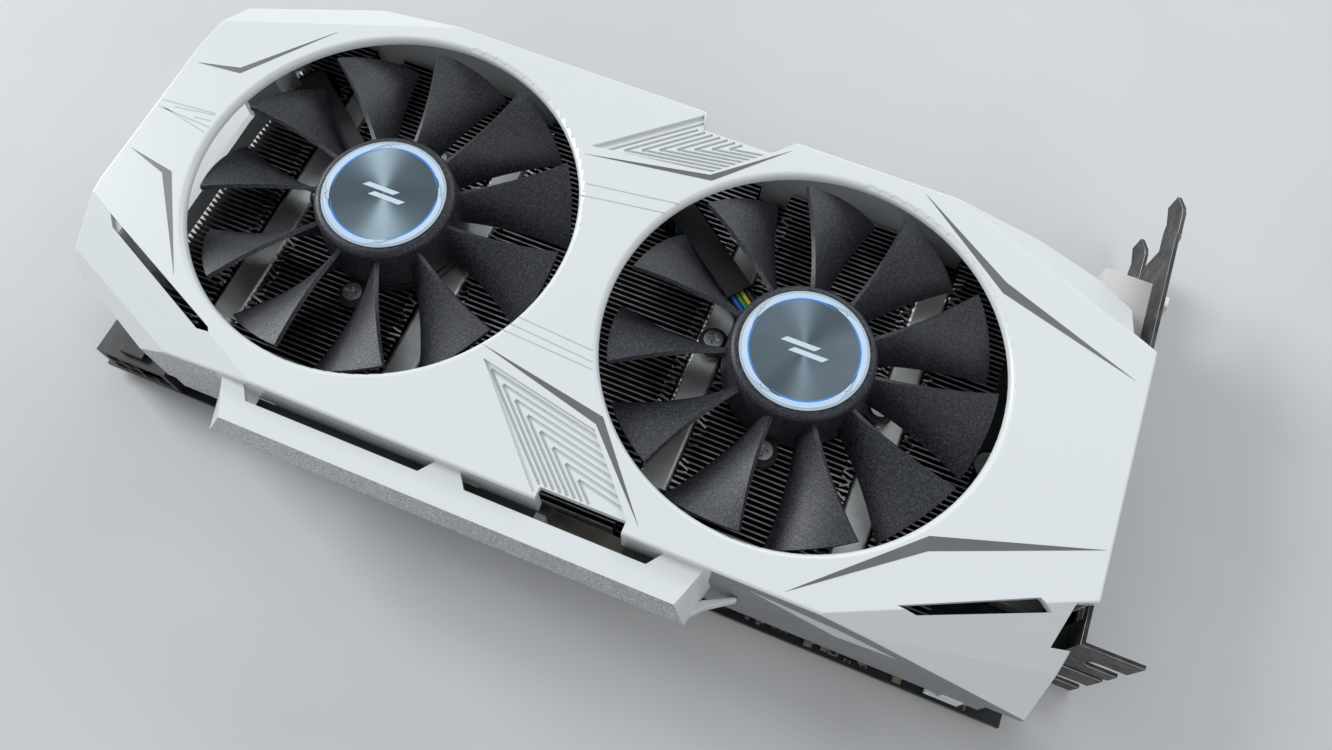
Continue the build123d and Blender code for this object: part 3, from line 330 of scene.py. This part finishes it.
# ---------------------------------------------------------------- carried-over CAD nodes
NODE_MATERIALS = {
    "shroud": "white", "shroud_screws": "steel",
    "fan_rotor": "fan", "hub_label": "label", "rotor_yoke": "steel", "magnet_ring": "ferrite",
    "rotor_shaft": "steel", "fan_frame": "black", "shaft_bearing": "brass", "driver_board": "board",
    "stator_core": "steel", "stator_coils": "copper", "fan_screws": "steel", "fan_mount_pads": "steel",
    "fan_cable": "wire_black", "fan_plug": "socket",
    "heatsink_fins": "fin", "heat_pipe": "nickel", "base_plate": "copper", "spring_screws": "steel",
    "cooler_springs": "steel", "retention_plate": "anodised",
    "pcb": "board", "edge_contacts": "gold", "gpu_package": "green", "gpu_die": "silicon",
    "memory_chips": "chip", "mosfets": "chip", "thermal_pads": "pad", "chokes": "choke",
    "capacitors": "can", "vrm_heatsink": "anodised", "power_connector": "black", "power_pins": "gold",
    "io_bracket": "bracket", "bracket_screws": "steel", "dvi_housing": "socket", "dvi_shells": "nickel",
    "dvi_standoffs": "nickel", "hdmi_connector": "nickel", "displayport_connector": "nickel",
}


def base_name(node):
    for ending in ("_left", "_right"):
        node = node.removesuffix(ending)
    return node[:-2] if node.startswith("heat_pipe_") else node


def dress_nodes():
    for name, node in NODES.items():
        material = MATERIALS[NODE_MATERIALS[base_name(name)]]
        node.data.materials.clear()
        node.data.materials.append(material)


# ---------------------------------------------------------------- mesh helpers
def as_mm(vector):
    """A point of the frame as design millimetres, the inverse of at()."""
    return Vector(((vector.x - CENTRE.x) / MM, (vector.y - CENTRE.y) / MM, vector.z / MM))


def applied(piece):
    """Bakes the modifiers of a piece into its mesh."""
    graph = bpy.context.evaluated_depsgraph_get()
    mesh = bpy.data.meshes.new_from_object(piece.evaluated_get(graph))
    piece.modifiers.clear()
    piece.data = mesh


def bevel(piece, width_mm, segments=2, angle=28, material=-1):
    """Rounds the sharp edges."""
    cut = piece.modifiers.new("bevel", "BEVEL")
    cut.width = width_mm * MM
    cut.segments = segments
    cut.limit_method = "ANGLE"
    cut.angle_limit = math.radians(angle)
    cut.material = material
    cut.miter_outer = "MITER_ARC"
    applied(piece)


def smooth(piece, angle=32):
    piece.data.shade_smooth()
    piece.data.set_sharp_from_angle(angle=math.radians(angle))
    piece.modifiers.new("normals", "WEIGHTED_NORMAL").keep_sharp = True
    applied(piece)


def piece_from(name, bm, materials, body="card", origin=None):
    """Makes a riding piece from a bmesh in frame coordinates, with its origin at the given point."""
    mesh = bpy.data.meshes.new(name)
    origin = origin or Vector((0, 0, 0))
    bmesh.ops.translate(bm, vec=-origin, verts=bm.verts)
    bmesh.ops.recalc_face_normals(bm, faces=bm.faces)
    bm.to_mesh(mesh)
    bm.free()
    for material in materials:
        mesh.materials.append(MATERIALS[material])
    piece = bpy.data.objects.new(name, mesh)
    bpy.context.scene.collection.objects.link(piece)
    piece.location = origin
    bpy.context.view_layer.update()
    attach(piece, body)
    return piece


def add_box(bm, low, high, material=0, turn=None):
    """A box between two design points, turned about its own centre."""
    low, high = at(*low), at(*high)
    centre = (low + high) / 2
    matrix = Matrix.Translation(centre) @ (turn or Matrix()) @ Matrix.Diagonal((*(high - low), 1.0))
    made = bmesh.ops.create_cube(bm, size=1.0, matrix=matrix)
    for face in {face for vert in made["verts"] for face in vert.link_faces}:
        face.material_index = material


def add_prism(bm, base, top, material=0):
    """A solid between two matching loops of frame points."""
    low = [bm.verts.new(point) for point in base]
    high = [bm.verts.new(point) for point in top]
    faces = [bm.faces.new(low[::-1]), bm.faces.new(high)]
    for index in range(len(low)):
        after = (index + 1) % len(low)
        faces.append(bm.faces.new((low[index], low[after], high[after], high[index])))
    for face in faces:
        face.material_index = material


def add_plate(bm, points, z0, z1, material=0):
    """A flat plate over a plan outline."""
    add_prism(bm, [at(x, y, z0) for x, y in points], [at(x, y, z1) for x, y in points], material)


# ---------------------------------------------------------------- CAD nodes with finished edges
BODY_OF = {node: body for body, nodes in frame["record"]["behaviour"]["bodies"].items() for node in nodes}


def refine(node, width_mm, edge=None, angle=28, segments=2, keep_angle=32, cuts=()):
    """A copy of a CAD node with its flats merged and its edges rounded, which stands for the node.

    The edge material covers the rounded edges, and the flats are cut at each x in cuts.
    """
    source = NODES[node]
    bm = bmesh.new()
    bm.from_mesh(source.data)
    bm.transform(source.matrix_world)
    bmesh.ops.remove_doubles(bm, verts=bm.verts, dist=0.002 * MM)
    bmesh.ops.dissolve_limit(bm, angle_limit=math.radians(0.4), verts=bm.verts, edges=bm.edges)
    for x in cuts:
        everything = [*bm.verts, *bm.edges, *bm.faces]
        bmesh.ops.bisect_plane(bm, geom=everything, plane_co=at(x, 0), plane_no=(1, 0, 0))
    materials = [NODE_MATERIALS[base_name(node)]] + ([edge] if edge else [])
    body = BODY_OF[node]
    origin = Vector((*FANS[body].xy, 0.0)) if body in FANS else None
    piece = piece_from(f"{node}_finished", bm, materials, body, origin)
    if width_mm:
        bevel(piece, width_mm, segments, angle, 1 if edge else -1)
    smooth(piece, keep_angle)
    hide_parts(node)
    return piece


def paint_faces(piece, material, test):
    """Gives the faces that pass a test, on their centre in millimetres and their normal, another material."""
    piece.data.materials.append(MATERIALS[material])
    index = len(piece.data.materials) - 1
    matrix = piece.matrix_world
    for face in piece.data.polygons:
        if test(as_mm(matrix @ face.center), face.normal):
            face.material_index = index


# the shroud's plan, needed to tell its outer walls from everything inside
OUTLINE = [
    (-115.75, -22.0), (-115.0, -28.0), (-112.7, -42.2), (-88.2, -54.0), (123.7, -54.0), (126.3, -30.0),
    (126.3, 30.2), (120.6, 33.0), (120.6, 41.9), (112.2, 47.8), (95.5, 52.0), (-90.0, 52.0),
    (-112.7, 42.2), (-115.0, 28.0), (-115.75, 22.0),
]


def outline_distance(x, y):
    """How far a plan point is from the shroud's outer outline."""
    point = Vector((x, y))
    best = math.inf
    for index, start in enumerate(OUTLINE):
        a, b = Vector(start), Vector(OUTLINE[(index + 1) % len(OUTLINE)])
        share = max(0.0, min(1.0, (point - a).dot(b - a) / (b - a).length_squared))
        best = min(best, (point - a - (b - a) * share).length)
    return best


BAR_ENDS = (-65.5, 51.0)
BAR_FACE_Y = -61.5
PAINTED_TO_X = 119
GROOVE_FLOOR_Z = 40.7


def faces_up(normal):
    return normal.z > 0.9


def on_outer_wall(centre, normal):
    return abs(normal.z) < 0.08 and outline_distance(centre.x, centre.y) < 0.3


def on_grey_wall(centre, normal):
    """The near wall to the right of the bar, and the far wall."""
    beyond_bar = normal.y < -0.2 and centre.x > BAR_ENDS[1]
    return on_outer_wall(centre, normal) and centre.x < PAINTED_TO_X and (beyond_bar or normal.y > 0.2)


def on_speckled_wall(centre, normal):
    """The bar's outer face, and the near wall to the left of the bar."""
    on_bar = normal.y < -0.9 and centre.y < BAR_FACE_Y
    return on_bar or on_outer_wall(centre, normal) and normal.y < -0.2 and centre.x < BAR_ENDS[0]


def finish_shroud():
    piece = refine("shroud", 0.22, angle=30, segments=3, keep_angle=24, cuts=BAR_ENDS)
    paint_faces(piece, "paint", on_grey_wall)
    paint_faces(piece, "speckle", on_speckled_wall)
    # painted shade: the floors of the grooves get the darker grey
    paint_faces(piece, "groove_shade", lambda c, n: faces_up(n) and abs(c.z - GROOVE_FLOOR_Z) < 0.1)


def finish_fins():
    # painted highlight: the faces on top of the fins get the lighter fin metal
    piece = refine("heatsink_fins", 0.0)
    paint_faces(piece, "fin_top_highlight", lambda c, n: faces_up(n) and c.z > FIN_TOP_Z - 0.2)


ARM_ANGLE = math.radians(143.0)
WIRE_PITCH = 1.3


def finish_cable(side, sign):
    """Each wire of a fan's cable in its own colour, told apart by how far across the arm it lies."""
    piece = refine(f"fan_cable_{side}", 0.0, keep_angle=60)
    piece.data.materials.clear()
    for colour in WIRE_COLOURS:
        piece.data.materials.append(MATERIALS[colour])
    last = len(WIRE_COLOURS) - 1
    for face in piece.data.polygons:
        centre = as_mm(piece.matrix_world @ face.center)
        across = centre.y * math.cos(ARM_ANGLE) - (centre.x - sign * FAN_X) * math.sin(ARM_ANGLE)
        face.material_index = max(0, min(last, int(across / WIRE_PITCH + 2)))


# edge rounding of each node in millimetres
EDGES = {
    "fan_rotor": 0.16, "fan_frame": 0.3, "fan_screws": 0.12, "fan_mount_pads": 0.15, "fan_plug": 0.2,
    "heat_pipe": 0.0, "base_plate": 0.25, "spring_screws": 0.2, "cooler_springs": 0.0,
    "retention_plate": 0.25, "io_bracket": 0.16, "bracket_screws": 0.2, "shroud_screws": 0.2,
    "dvi_housing": 0.3, "dvi_shells": 0.15, "dvi_standoffs": 0.2, "hdmi_connector": 0.12,
    "displayport_connector": 0.12, "power_connector": 0.2, "power_pins": 0.1, "chokes": 0.25,
    "capacitors": 0.35, "memory_chips": 0.1, "mosfets": 0.1, "gpu_package": 0.1, "gpu_die": 0.05,
    "vrm_heatsink": 0.1, "pcb": 0.1,
}
WORN_NODES = ("retention_plate", "io_bracket")


def finish_nodes():
    for node in NODES:
        base = base_name(node)
        if base in EDGES:
            refine(node, EDGES[base], "bare_edge" if base in WORN_NODES else None)
    finish_shroud()
    finish_fins()
    for side, sign in SIDES.items():
        finish_cable(side, sign)


# ---------------------------------------------------------------- paint and trim on the shroud
PROUD = 0.06
SUNK = 0.1
# each chevron: first tip, outer elbow, second tip, inner elbow
CHEVRONS = {
    "far_left": [(-113.0, 16.0), (-101.6, 17.2), (-86.0, 38.0), (-102.4, 18.7)],
    "far_middle": [(-13.6, 28.6), (17.5, 33.4), (32.4, 49.0), (16.6, 34.8)],
    "far_right": [(66.0, 50.0), (90.0, 34.0), (123.0, 21.0), (90.0, 31.0)],
    "near_left": [(-113.75, -11.9), (-101.2, -14.0), (-85.5, -37.5), (-103.0, -15.2)],
    "near_middle": [(-14.0, -26.25), (17.5, -31.9), (33.75, -51.25), (16.75, -34.0)],
    "near_right": [(66.2, -52.4), (90.1, -30.2), (125.0, -19.1), (90.7, -33.4)],
}
WAIST_LINES = [((-9.8, 21.0), (12.7, 24.3)), ((-9.7, 17.6), (10.6, 20.7)), ((-9.2, -17.2), (9.1, -18.4)),
               ((-10.4, -19.4), (10.1, -20.9)), ((-11.1, -21.4), (10.9, -22.6))]
END_LINES = [((-114.6, 3.0), (-100.6, 4.3)), ((-110.8, 2.3), (-100.6, 3.9)), ((-114.6, 1.0), (-99.9, 0.3)),
             ((-104.7, 1.5), (-100.4, 2.1)), ((-113.4, 1.2), (-100.2, -1.4))]
LINE_HALF_WIDTH = 0.14
LINE_TOP_Z = 42.05
# the stripe on the near wall in x and z, and on the corner wall in share of its length and z
STRIPE = [(59.9, 38.0), (80.0, 34.6), (92.9, 30.2), (80.0, 28.2)]
CORNER_STRIPE = [(0.10, 25.0), (0.45, 24.2), (0.92, 21.0), (0.45, 22.2)]
CORNER_WALL = (Vector((-112.7, -42.2)), Vector((-88.2, NEAR_Y)))


def chevrons():
    for name, points in CHEVRONS.items():
        bm = bmesh.new()
        add_plate(bm, points, TOP_Z - SUNK, TOP_Z + PROUD)
        piece_from(f"chevron_{name}", bm, ["chevron"])


def fine_lines():
    """Raised pin-stripes across the waist and the free end."""
    bm = bmesh.new()
    for start, end in WAIST_LINES + END_LINES:
        start, end = Vector(start), Vector(end)
        run = (end - start).normalized() * LINE_HALF_WIDTH
        across = Vector((-run.y, run.x))
        corners = [start - across, end - across, end + across, start + across]
        add_plate(bm, corners, TOP_Z - SUNK, LINE_TOP_Z)
    piece_from("pin_stripes", bm, ["line"])


def wall_stripes():
    """White tapered stripes on the painted walls."""
    bm = bmesh.new()
    near_wall = [[at(x, NEAR_Y - lift, z) for x, z in STRIPE] for lift in (-SUNK, PROUD)]
    add_prism(bm, *near_wall)
    start, end = CORNER_WALL
    out = Vector((end.y - start.y, start.x - end.x)).normalized()
    loops = []
    for lift in (-SUNK, PROUD):
        flat = [start.lerp(end, share) + out * lift for share, z in CORNER_STRIPE]
        loops.append([at(point.x, point.y, z) for point, (share, z) in zip(flat, CORNER_STRIPE)])
    add_prism(bm, *loops)
    piece_from("wall_stripes", bm, ["white"])


RIB = [(46.6, -62.6), (51.0, -57.6), (57.4, -54.2), (58.2, -54.6), (52.2, -58.8), (48.0, -63.4)]
RIB_Z = (23.5, 28.0)
CLIP_Y = (NEAR_Y - 0.3, NEAR_Y + 1.6)
CLIP_FOOT_Z = 8.4
# x range and top of the clip's block and of its hook
CLIP_PARTS = (((107.5, 112.6), 14.0), ((104.6, 107.6), 10.2))


def clips():
    """The white rib under the bar's right end and the clip at the foot of the near wall."""
    bm = bmesh.new()
    add_plate(bm, RIB, *RIB_Z)
    for (x0, x1), top in CLIP_PARTS:
        add_plate(bm, [(x0, CLIP_Y[0]), (x1, CLIP_Y[0]), (x1, CLIP_Y[1]), (x0, CLIP_Y[1])], CLIP_FOOT_Z, top)
    piece = piece_from("clips", bm, ["white"])
    bevel(piece, 0.3, 3)
    smooth(piece)


# ---------------------------------------------------------------- fans
LABEL_BOTTOM_Z = 41.7
LABEL_RADIUS = 14.65
DISC_RADIUS = 12.9
# how far the label's layers stand proud of its top, and how deep the rings are set into it
DISC_RISE = 0.03
CRESCENT_RISE = 0.07
ARC_RISE = 0.05
RIM_LINE_RISE = 0.02
MARK_RISE = 0.06
RING_DEPTH = 0.05
# each pale crescent: its turn on each side, its length, and how its two edges run
CRESCENT_COUNT = 4
CRESCENT_TURN = {"left": 20.0, "right": 62.0}
CRESCENT_SPAN = 100
CRESCENT_INNER = 12.75
CRESCENT_OUTER = 14.05
CRESCENT_TIP_START = 0.76
CRESCENT_TIP_BEND = 5.4
CRESCENT_SWELL = (0.22, 0.02)
# each blue arc, inside a crescent
ARC_SPAN = (84, 10)
ARC_INNER = 12.35
ARC_OUTER = (12.42, 12.85)
ARC_SWELL = (0.4, 0.4)
RIM_LINE = (14.2, 14.3)
# the mark: a slanted bar and where its two copies are shifted to
MARK_BAR = [(-4.6, -0.6), (3.4, -0.6), (4.6, 0.6), (-3.4, 0.6)]
MARK_SHIFTS = ((-1.2, 0.95), (1.2, -0.95))


def ring_points(radius, start, end, count):
    """Points round the origin between two angles, at a radius that may be a function of the share."""
    for step in range(count + 1):
        share = step / count
        angle = math.radians(start + (end - start) * share)
        yield Vector((math.cos(angle), math.sin(angle))) * (radius(share) if callable(radius) else radius)


def add_ring(bm, x, inner, outer, z0, z1, start=0.0, end=360.0, count=96, material=0):
    """A flat arc between two radii, which may vary along it."""
    inside = [p + Vector((x, 0)) for p in ring_points(inner, start, end, count)]
    outside = [p + Vector((x, 0)) for p in ring_points(outer, start, end, count)]
    loops = []
    for a, b in zip(inside, outside):
        loops.append([bm.verts.new(at(p.x, p.y, z)) for p, z in ((a, z0), (b, z0), (b, z1), (a, z1))])
    for first, second in zip(loops, loops[1:]):
        for side in range(4):
            after = (side + 1) % 4
            face = bm.faces.new((first[side], first[after], second[after], second[side]))
            face.material_index = material
    for cap in (loops[0], loops[-1]):
        bm.faces.new(cap).material_index = material


def add_disc(bm, x, radius, z0, z1, count=128):
    rim = [p + Vector((x, 0)) for p in list(ring_points(radius, 0, 360, count))[:-1]]
    add_plate(bm, rim, z0, z1)


def swell(low, high, rise, fall):
    """A radius that climbs from low to high over the first share of an arc and drops over the last."""
    def radius(share):
        if share < rise:
            return low + (high - low) * share / rise
        if share > 1 - fall:
            return low + (high - low) * (1 - share) / fall
        return high
    return radius


def crescent_inner(share):
    """The inner edge of a crescent, which bends outwards near its tip."""
    return CRESCENT_INNER + max(0.0, share - CRESCENT_TIP_START) * CRESCENT_TIP_BEND


def label(side, sign):
    """Round hub badge: a brushed disc, thin blue arcs and four overlapping pale crescents, unlettered."""
    body = f"fan_{side}"
    x = sign * FAN_X
    origin = Vector((*FANS[body].xy, 0.0))
    bm = bmesh.new()
    add_disc(bm, x, LABEL_RADIUS, LABEL_BOTTOM_Z, TOP_Z)
    badge = piece_from(f"label_rim_{side}", bm, ["rim"], body, origin)
    bevel(badge, 0.12, 2, 60)
    smooth(badge)
    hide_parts(f"hub_label_{side}")
    bm = bmesh.new()
    add_disc(bm, x, DISC_RADIUS, TOP_Z - SUNK, TOP_Z + DISC_RISE)
    piece_from(f"label_disc_{side}", bm, ["label"], body, origin)
    bm = bmesh.new()
    crescent_outer = swell(DISC_RADIUS, CRESCENT_OUTER, *CRESCENT_SWELL)
    arc_outer = swell(*ARC_OUTER, *ARC_SWELL)
    ring_bottom = TOP_Z - RING_DEPTH
    for turn in range(CRESCENT_COUNT):
        start = CRESCENT_TURN[side] + turn * 360 / CRESCENT_COUNT
        add_ring(bm, x, crescent_inner, crescent_outer, ring_bottom, TOP_Z + CRESCENT_RISE,
                 start + CRESCENT_SPAN, start, 40)
        add_ring(bm, x, ARC_INNER, arc_outer, ring_bottom, TOP_Z + ARC_RISE,
                 start + ARC_SPAN[0], start + ARC_SPAN[1], 36, 1)
    add_ring(bm, x, *RIM_LINE, ring_bottom, TOP_Z + RIM_LINE_RISE, material=2)
    piece_from(f"label_swirl_{side}", bm, ["ring", "arc", "line"], body, origin)
    bm = bmesh.new()
    for shift_x, shift_y in MARK_SHIFTS:
        bar = [(x + shift_x + corner_x, shift_y + corner_y) for corner_x, corner_y in MARK_BAR]
        add_plate(bm, bar, TOP_Z, TOP_Z + MARK_RISE)
    piece_from(f"label_mark_{side}", bm, ["mark"], body, origin)


# the cover's lid, its two cheeks and its end, as opposite corners along, across and above the arm
COVER_PARTS = (
    ((24.5, -3.4, 28.9), (52.6, 3.4, 29.5)), ((24.5, -3.4, 27.5), (52.6, -2.8, 29.2)),
    ((24.5, 2.8, 27.5), (52.6, 3.4, 29.2)), ((52.0, -3.4, 24.0), (52.6, 3.4, 29.5)),
)


def cable_cover(side, sign):
    """Cover over the wires on the arm, so that they show only where they leave the hub."""
    bm = bmesh.new()
    arm = Matrix.Translation(at(sign * FAN_X, 0)) @ Matrix.Rotation(ARM_ANGLE, 4, "Z")
    for low, high in COVER_PARTS:
        low, high = Vector(low) * MM, Vector(high) * MM
        box = Matrix.Translation((low + high) / 2) @ Matrix.Diagonal((*(high - low), 1.0))
        bmesh.ops.create_cube(bm, size=1.0, matrix=arm @ box)
    piece = piece_from(f"cable_cover_{side}", bm, ["black"])
    bevel(piece, 0.12, 2)
    smooth(piece)


# ---------------------------------------------------------------- cooler
FIN_START_Y = -50.0
FIN_PITCH = 1.4
STRAPS = (-80.6, -35.0, 31.0, 77.0)
COLLAR_OFFSET = 5.3
COLLAR_HALF_LENGTH = 1.15
HUB_REACH = 17.0
LUG_REACH = 5.0
LUG_RADIUS = 21.0
LUG_ANGLES = (-2, 88, 178, 268)


def under_fan_frame(x, y):
    """Whether a point is under a hub or a lug of either fan frame."""
    for sign in SIDES.values():
        if math.hypot(x - sign * FAN_X, y) < HUB_REACH:
            return True
        for angle in LUG_ANGLES:
            lug_x = sign * FAN_X + LUG_RADIUS * math.cos(math.radians(angle))
            lug_y = LUG_RADIUS * math.sin(math.radians(angle))
            if math.hypot(x - lug_x, y - lug_y) < LUG_REACH:
                return True
    return False


def collars():
    """Crumpled fin edges where the fins were pressed on to the flat pipes."""
    scatter = random.Random(7)
    bm = bmesh.new()
    for strap in STRAPS:
        for side in (-1, 1):
            for fin in range(2, 66):
                y = FIN_START_Y + fin * FIN_PITCH
                x = strap + side * (COLLAR_OFFSET + scatter.uniform(-0.25, 0.25))
                if under_fan_frame(x, y):
                    continue
                long = COLLAR_HALF_LENGTH + scatter.uniform(-0.2, 0.3)
                twist = Matrix.Rotation(math.radians(scatter.uniform(-26, 26)), 4, "Z")
                tilt = Matrix.Rotation(math.radians(scatter.uniform(-18, 18)), 4, "Y")
                low = (x - long, y - 0.12, FIN_TOP_Z - 0.6)
                high = (x + long, y + 0.42, FIN_TOP_Z + 0.35)
                add_box(bm, low, high, turn=twist @ tilt)
    piece = piece_from("fin_collars", bm, ["crimp"])
    bevel(piece, 0.08, 1)
    smooth(piece)


# where the painted shade strip lies, on both sides of the notch in the near edge
SLOT_SHADE_SPANS = ((-57.6, 10.9), (31.6, 39.6))
SLOT_SHADE_Y = (-57.0, NEAR_Y - 0.1)
SLOT_SHADE_Z = (31.2, 31.6)


def slot_shade_strip():
    """Black strip inside the side bar below its slots, painted shade for the dark inside of the bar seen through
    them.
    """
    bm = bmesh.new()
    for x0, x1 in SLOT_SHADE_SPANS:
        add_box(bm, (x0, SLOT_SHADE_Y[0], SLOT_SHADE_Z[0]), (x1, SLOT_SHADE_Y[1], SLOT_SHADE_Z[1]))
    piece_from("slot_shade_strip", bm, ["black"])


LEDGE = ((12.5, -53.4, 20.4), (40.0, -50.3, 21.2))


def dusty_ledge():
    """Dust on the ledge below the notch in the near edge."""
    bm = bmesh.new()
    add_box(bm, *LEDGE)
    piece_from("dusty_ledge", bm, ["dust"])


# ---------------------------------------------------------------- sockets and board
DVI_Y = 36.4
DVI_Z = (10.2, 26.0)
DVI_FACE_X = (128.0, 128.3)
DVI_ROWS = (-1.8, 0.0, 1.8)
DVI_COLUMNS = 8
DVI_PITCH = 1.9
DVI_FIRST_Y = DVI_Y - 8.6
HOLE_HALF = 0.5
BLADE_Y = (DVI_Y + 7.0, DVI_Y + 10.2)
BLADE_HALF = 0.25
# middle and half width of the HDMI and of the DisplayPort tongue
TONGUES = ((-2.0, 5.6), (-20.0, 6.2))
TONGUE_X = (115.9, 126.0)
TONGUE_Z = (6.9, 7.9)
CONTACT_Z = ((6.86, 6.92), (7.88, 7.94))
TONGUE_CONTACTS = 10
CONTACT_X = (118.0, 125.6)
CONTACT_HALF = 0.22
CONTACT_MARGIN = 0.7


def contact_fields():
    """Black boxes standing proud of the face of each DVI socket, painted shade where its square holes and flat
    blade slot are.
    """
    bm = bmesh.new()
    x0, x1 = DVI_FACE_X
    for z in DVI_Z:
        for row in DVI_ROWS:
            for column in range(DVI_COLUMNS):
                y = DVI_FIRST_Y + column * DVI_PITCH
                low = (x0, y - HOLE_HALF, z + row - HOLE_HALF)
                add_box(bm, low, (x1, y + HOLE_HALF, z + row + HOLE_HALF))
        add_box(bm, (x0, BLADE_Y[0], z - BLADE_HALF), (x1, BLADE_Y[1], z + BLADE_HALF))
    piece_from("socket_hole_shades", bm, ["hole_shade"])


def contact_tongues():
    """A tongue in each of the two small sockets, with gilt contacts above and below."""
    bm = bmesh.new()
    for middle, half in TONGUES:
        add_box(bm, (TONGUE_X[0], middle - half, TONGUE_Z[0]), (TONGUE_X[1], middle + half, TONGUE_Z[1]))
        pitch = 2 * (half - CONTACT_MARGIN) / (TONGUE_CONTACTS - 1)
        for contact in range(TONGUE_CONTACTS):
            y = middle - half + CONTACT_MARGIN + contact * pitch
            for z0, z1 in CONTACT_Z:
                add_box(bm, (CONTACT_X[0], y - CONTACT_HALF, z0), (CONTACT_X[1], y + CONTACT_HALF, z1), 1)
    smooth(piece_from("socket_tongues", bm, ["black", "gold"]))


# x and y ranges of the strips of the board that can be seen into
PART_STRIPS = ((-84, 118, -53.2, -51.4), (-108, 104, 51.0, 54.4), (95.0, 100.0, -44.0, 30.0))
PARTS_PER_STRIP = 110
PART_SIZES = ((1.6, 0.8, 0.55), (1.0, 0.5, 0.4), (2.0, 1.2, 0.8))
PART_MATERIALS = ["chip", "ceramic", "steel"]
PART_BODIES = (0, 1, 1)
END_CAP = 2
CAP_LENGTH = 0.25
CAP_PROUD = 0.02


def add_part(bm, x, y, size, material):
    """A small surface part with a metal cap on both ends of its longer side."""
    w, d, h = size
    add_box(bm, (x - w / 2, y - d / 2, BOARD_TOP_Z), (x + w / 2, y + d / 2, BOARD_TOP_Z + h), material)
    for sign in (-1, 1):
        if w > d:
            cx, cy = x + sign * (w - CAP_LENGTH) / 2, y
            ex, ey = CAP_LENGTH / 2 + CAP_PROUD, d / 2 + CAP_PROUD
        else:
            cx, cy = x, y + sign * (d - CAP_LENGTH) / 2
            ex, ey = w / 2 + CAP_PROUD, CAP_LENGTH / 2 + CAP_PROUD
        add_box(bm, (cx - ex, cy - ey, BOARD_TOP_Z), (cx + ex, cy + ey, BOARD_TOP_Z + 0.03 + h), END_CAP)


def surface_parts(scatter):
    """Small parts along the open strips of the board."""
    bm = bmesh.new()
    for x0, x1, y0, y1 in PART_STRIPS:
        for _ in range(PARTS_PER_STRIP):
            x, y = scatter.uniform(x0, x1), scatter.uniform(y0, y1)
            w, d, h = scatter.choice(PART_SIZES)
            if scatter.random() < 0.5 and y1 - y0 > 2:
                w, d = d, w
            add_part(bm, x, y, (w, d, h), scatter.choice(PART_BODIES))
    piece_from("surface_parts", bm, PART_MATERIALS)


PLATE_MIDDLE_X = 5
PLATE_REACH = (34, 40)
SOLDER_COUNT = 420
SOLDER_X = (-108, 118)
SOLDER_Y = (-50, 52)
SOLDER_Z = 2.15
SOLDER_HEIGHT = 0.5
SOLDER_RADII = (0.45, 0.15)


def behind_plate(x, y):
    """Whether a point of the board is near or under the retention plate."""
    return abs(x - PLATE_MIDDLE_X) < PLATE_REACH[0] and abs(y) < PLATE_REACH[1]


def solder_points(scatter):
    """Cones of solder on the underside of the board."""
    bm = bmesh.new()
    foot, tip = SOLDER_RADII
    upside_down = Matrix.Rotation(math.pi, 4, "X")
    for _ in range(SOLDER_COUNT):
        x, y = scatter.uniform(*SOLDER_X), scatter.uniform(*SOLDER_Y)
        if not behind_plate(x, y):
            place = Matrix.Translation(at(x, y, SOLDER_Z)) @ upside_down
            bmesh.ops.create_cone(bm, cap_ends=True, segments=10, radius1=foot * MM, radius2=tip * MM,
                                  depth=SOLDER_HEIGHT * MM, matrix=place)
    piece_from("solder_points", bm, ["steel"])


make_materials()
camera_and_light()
floor()
dress_nodes()
finish_nodes()
chevrons()
fine_lines()
wall_stripes()
clips()
for fan_side, fan_sign in SIDES.items():
    label(fan_side, fan_sign)
    cable_cover(fan_side, fan_sign)
collars()
slot_shade_strip()
dusty_ledge()
contact_fields()
contact_tongues()
board_scatter = random.Random(11)
surface_parts(board_scatter)
solder_points(board_scatter)
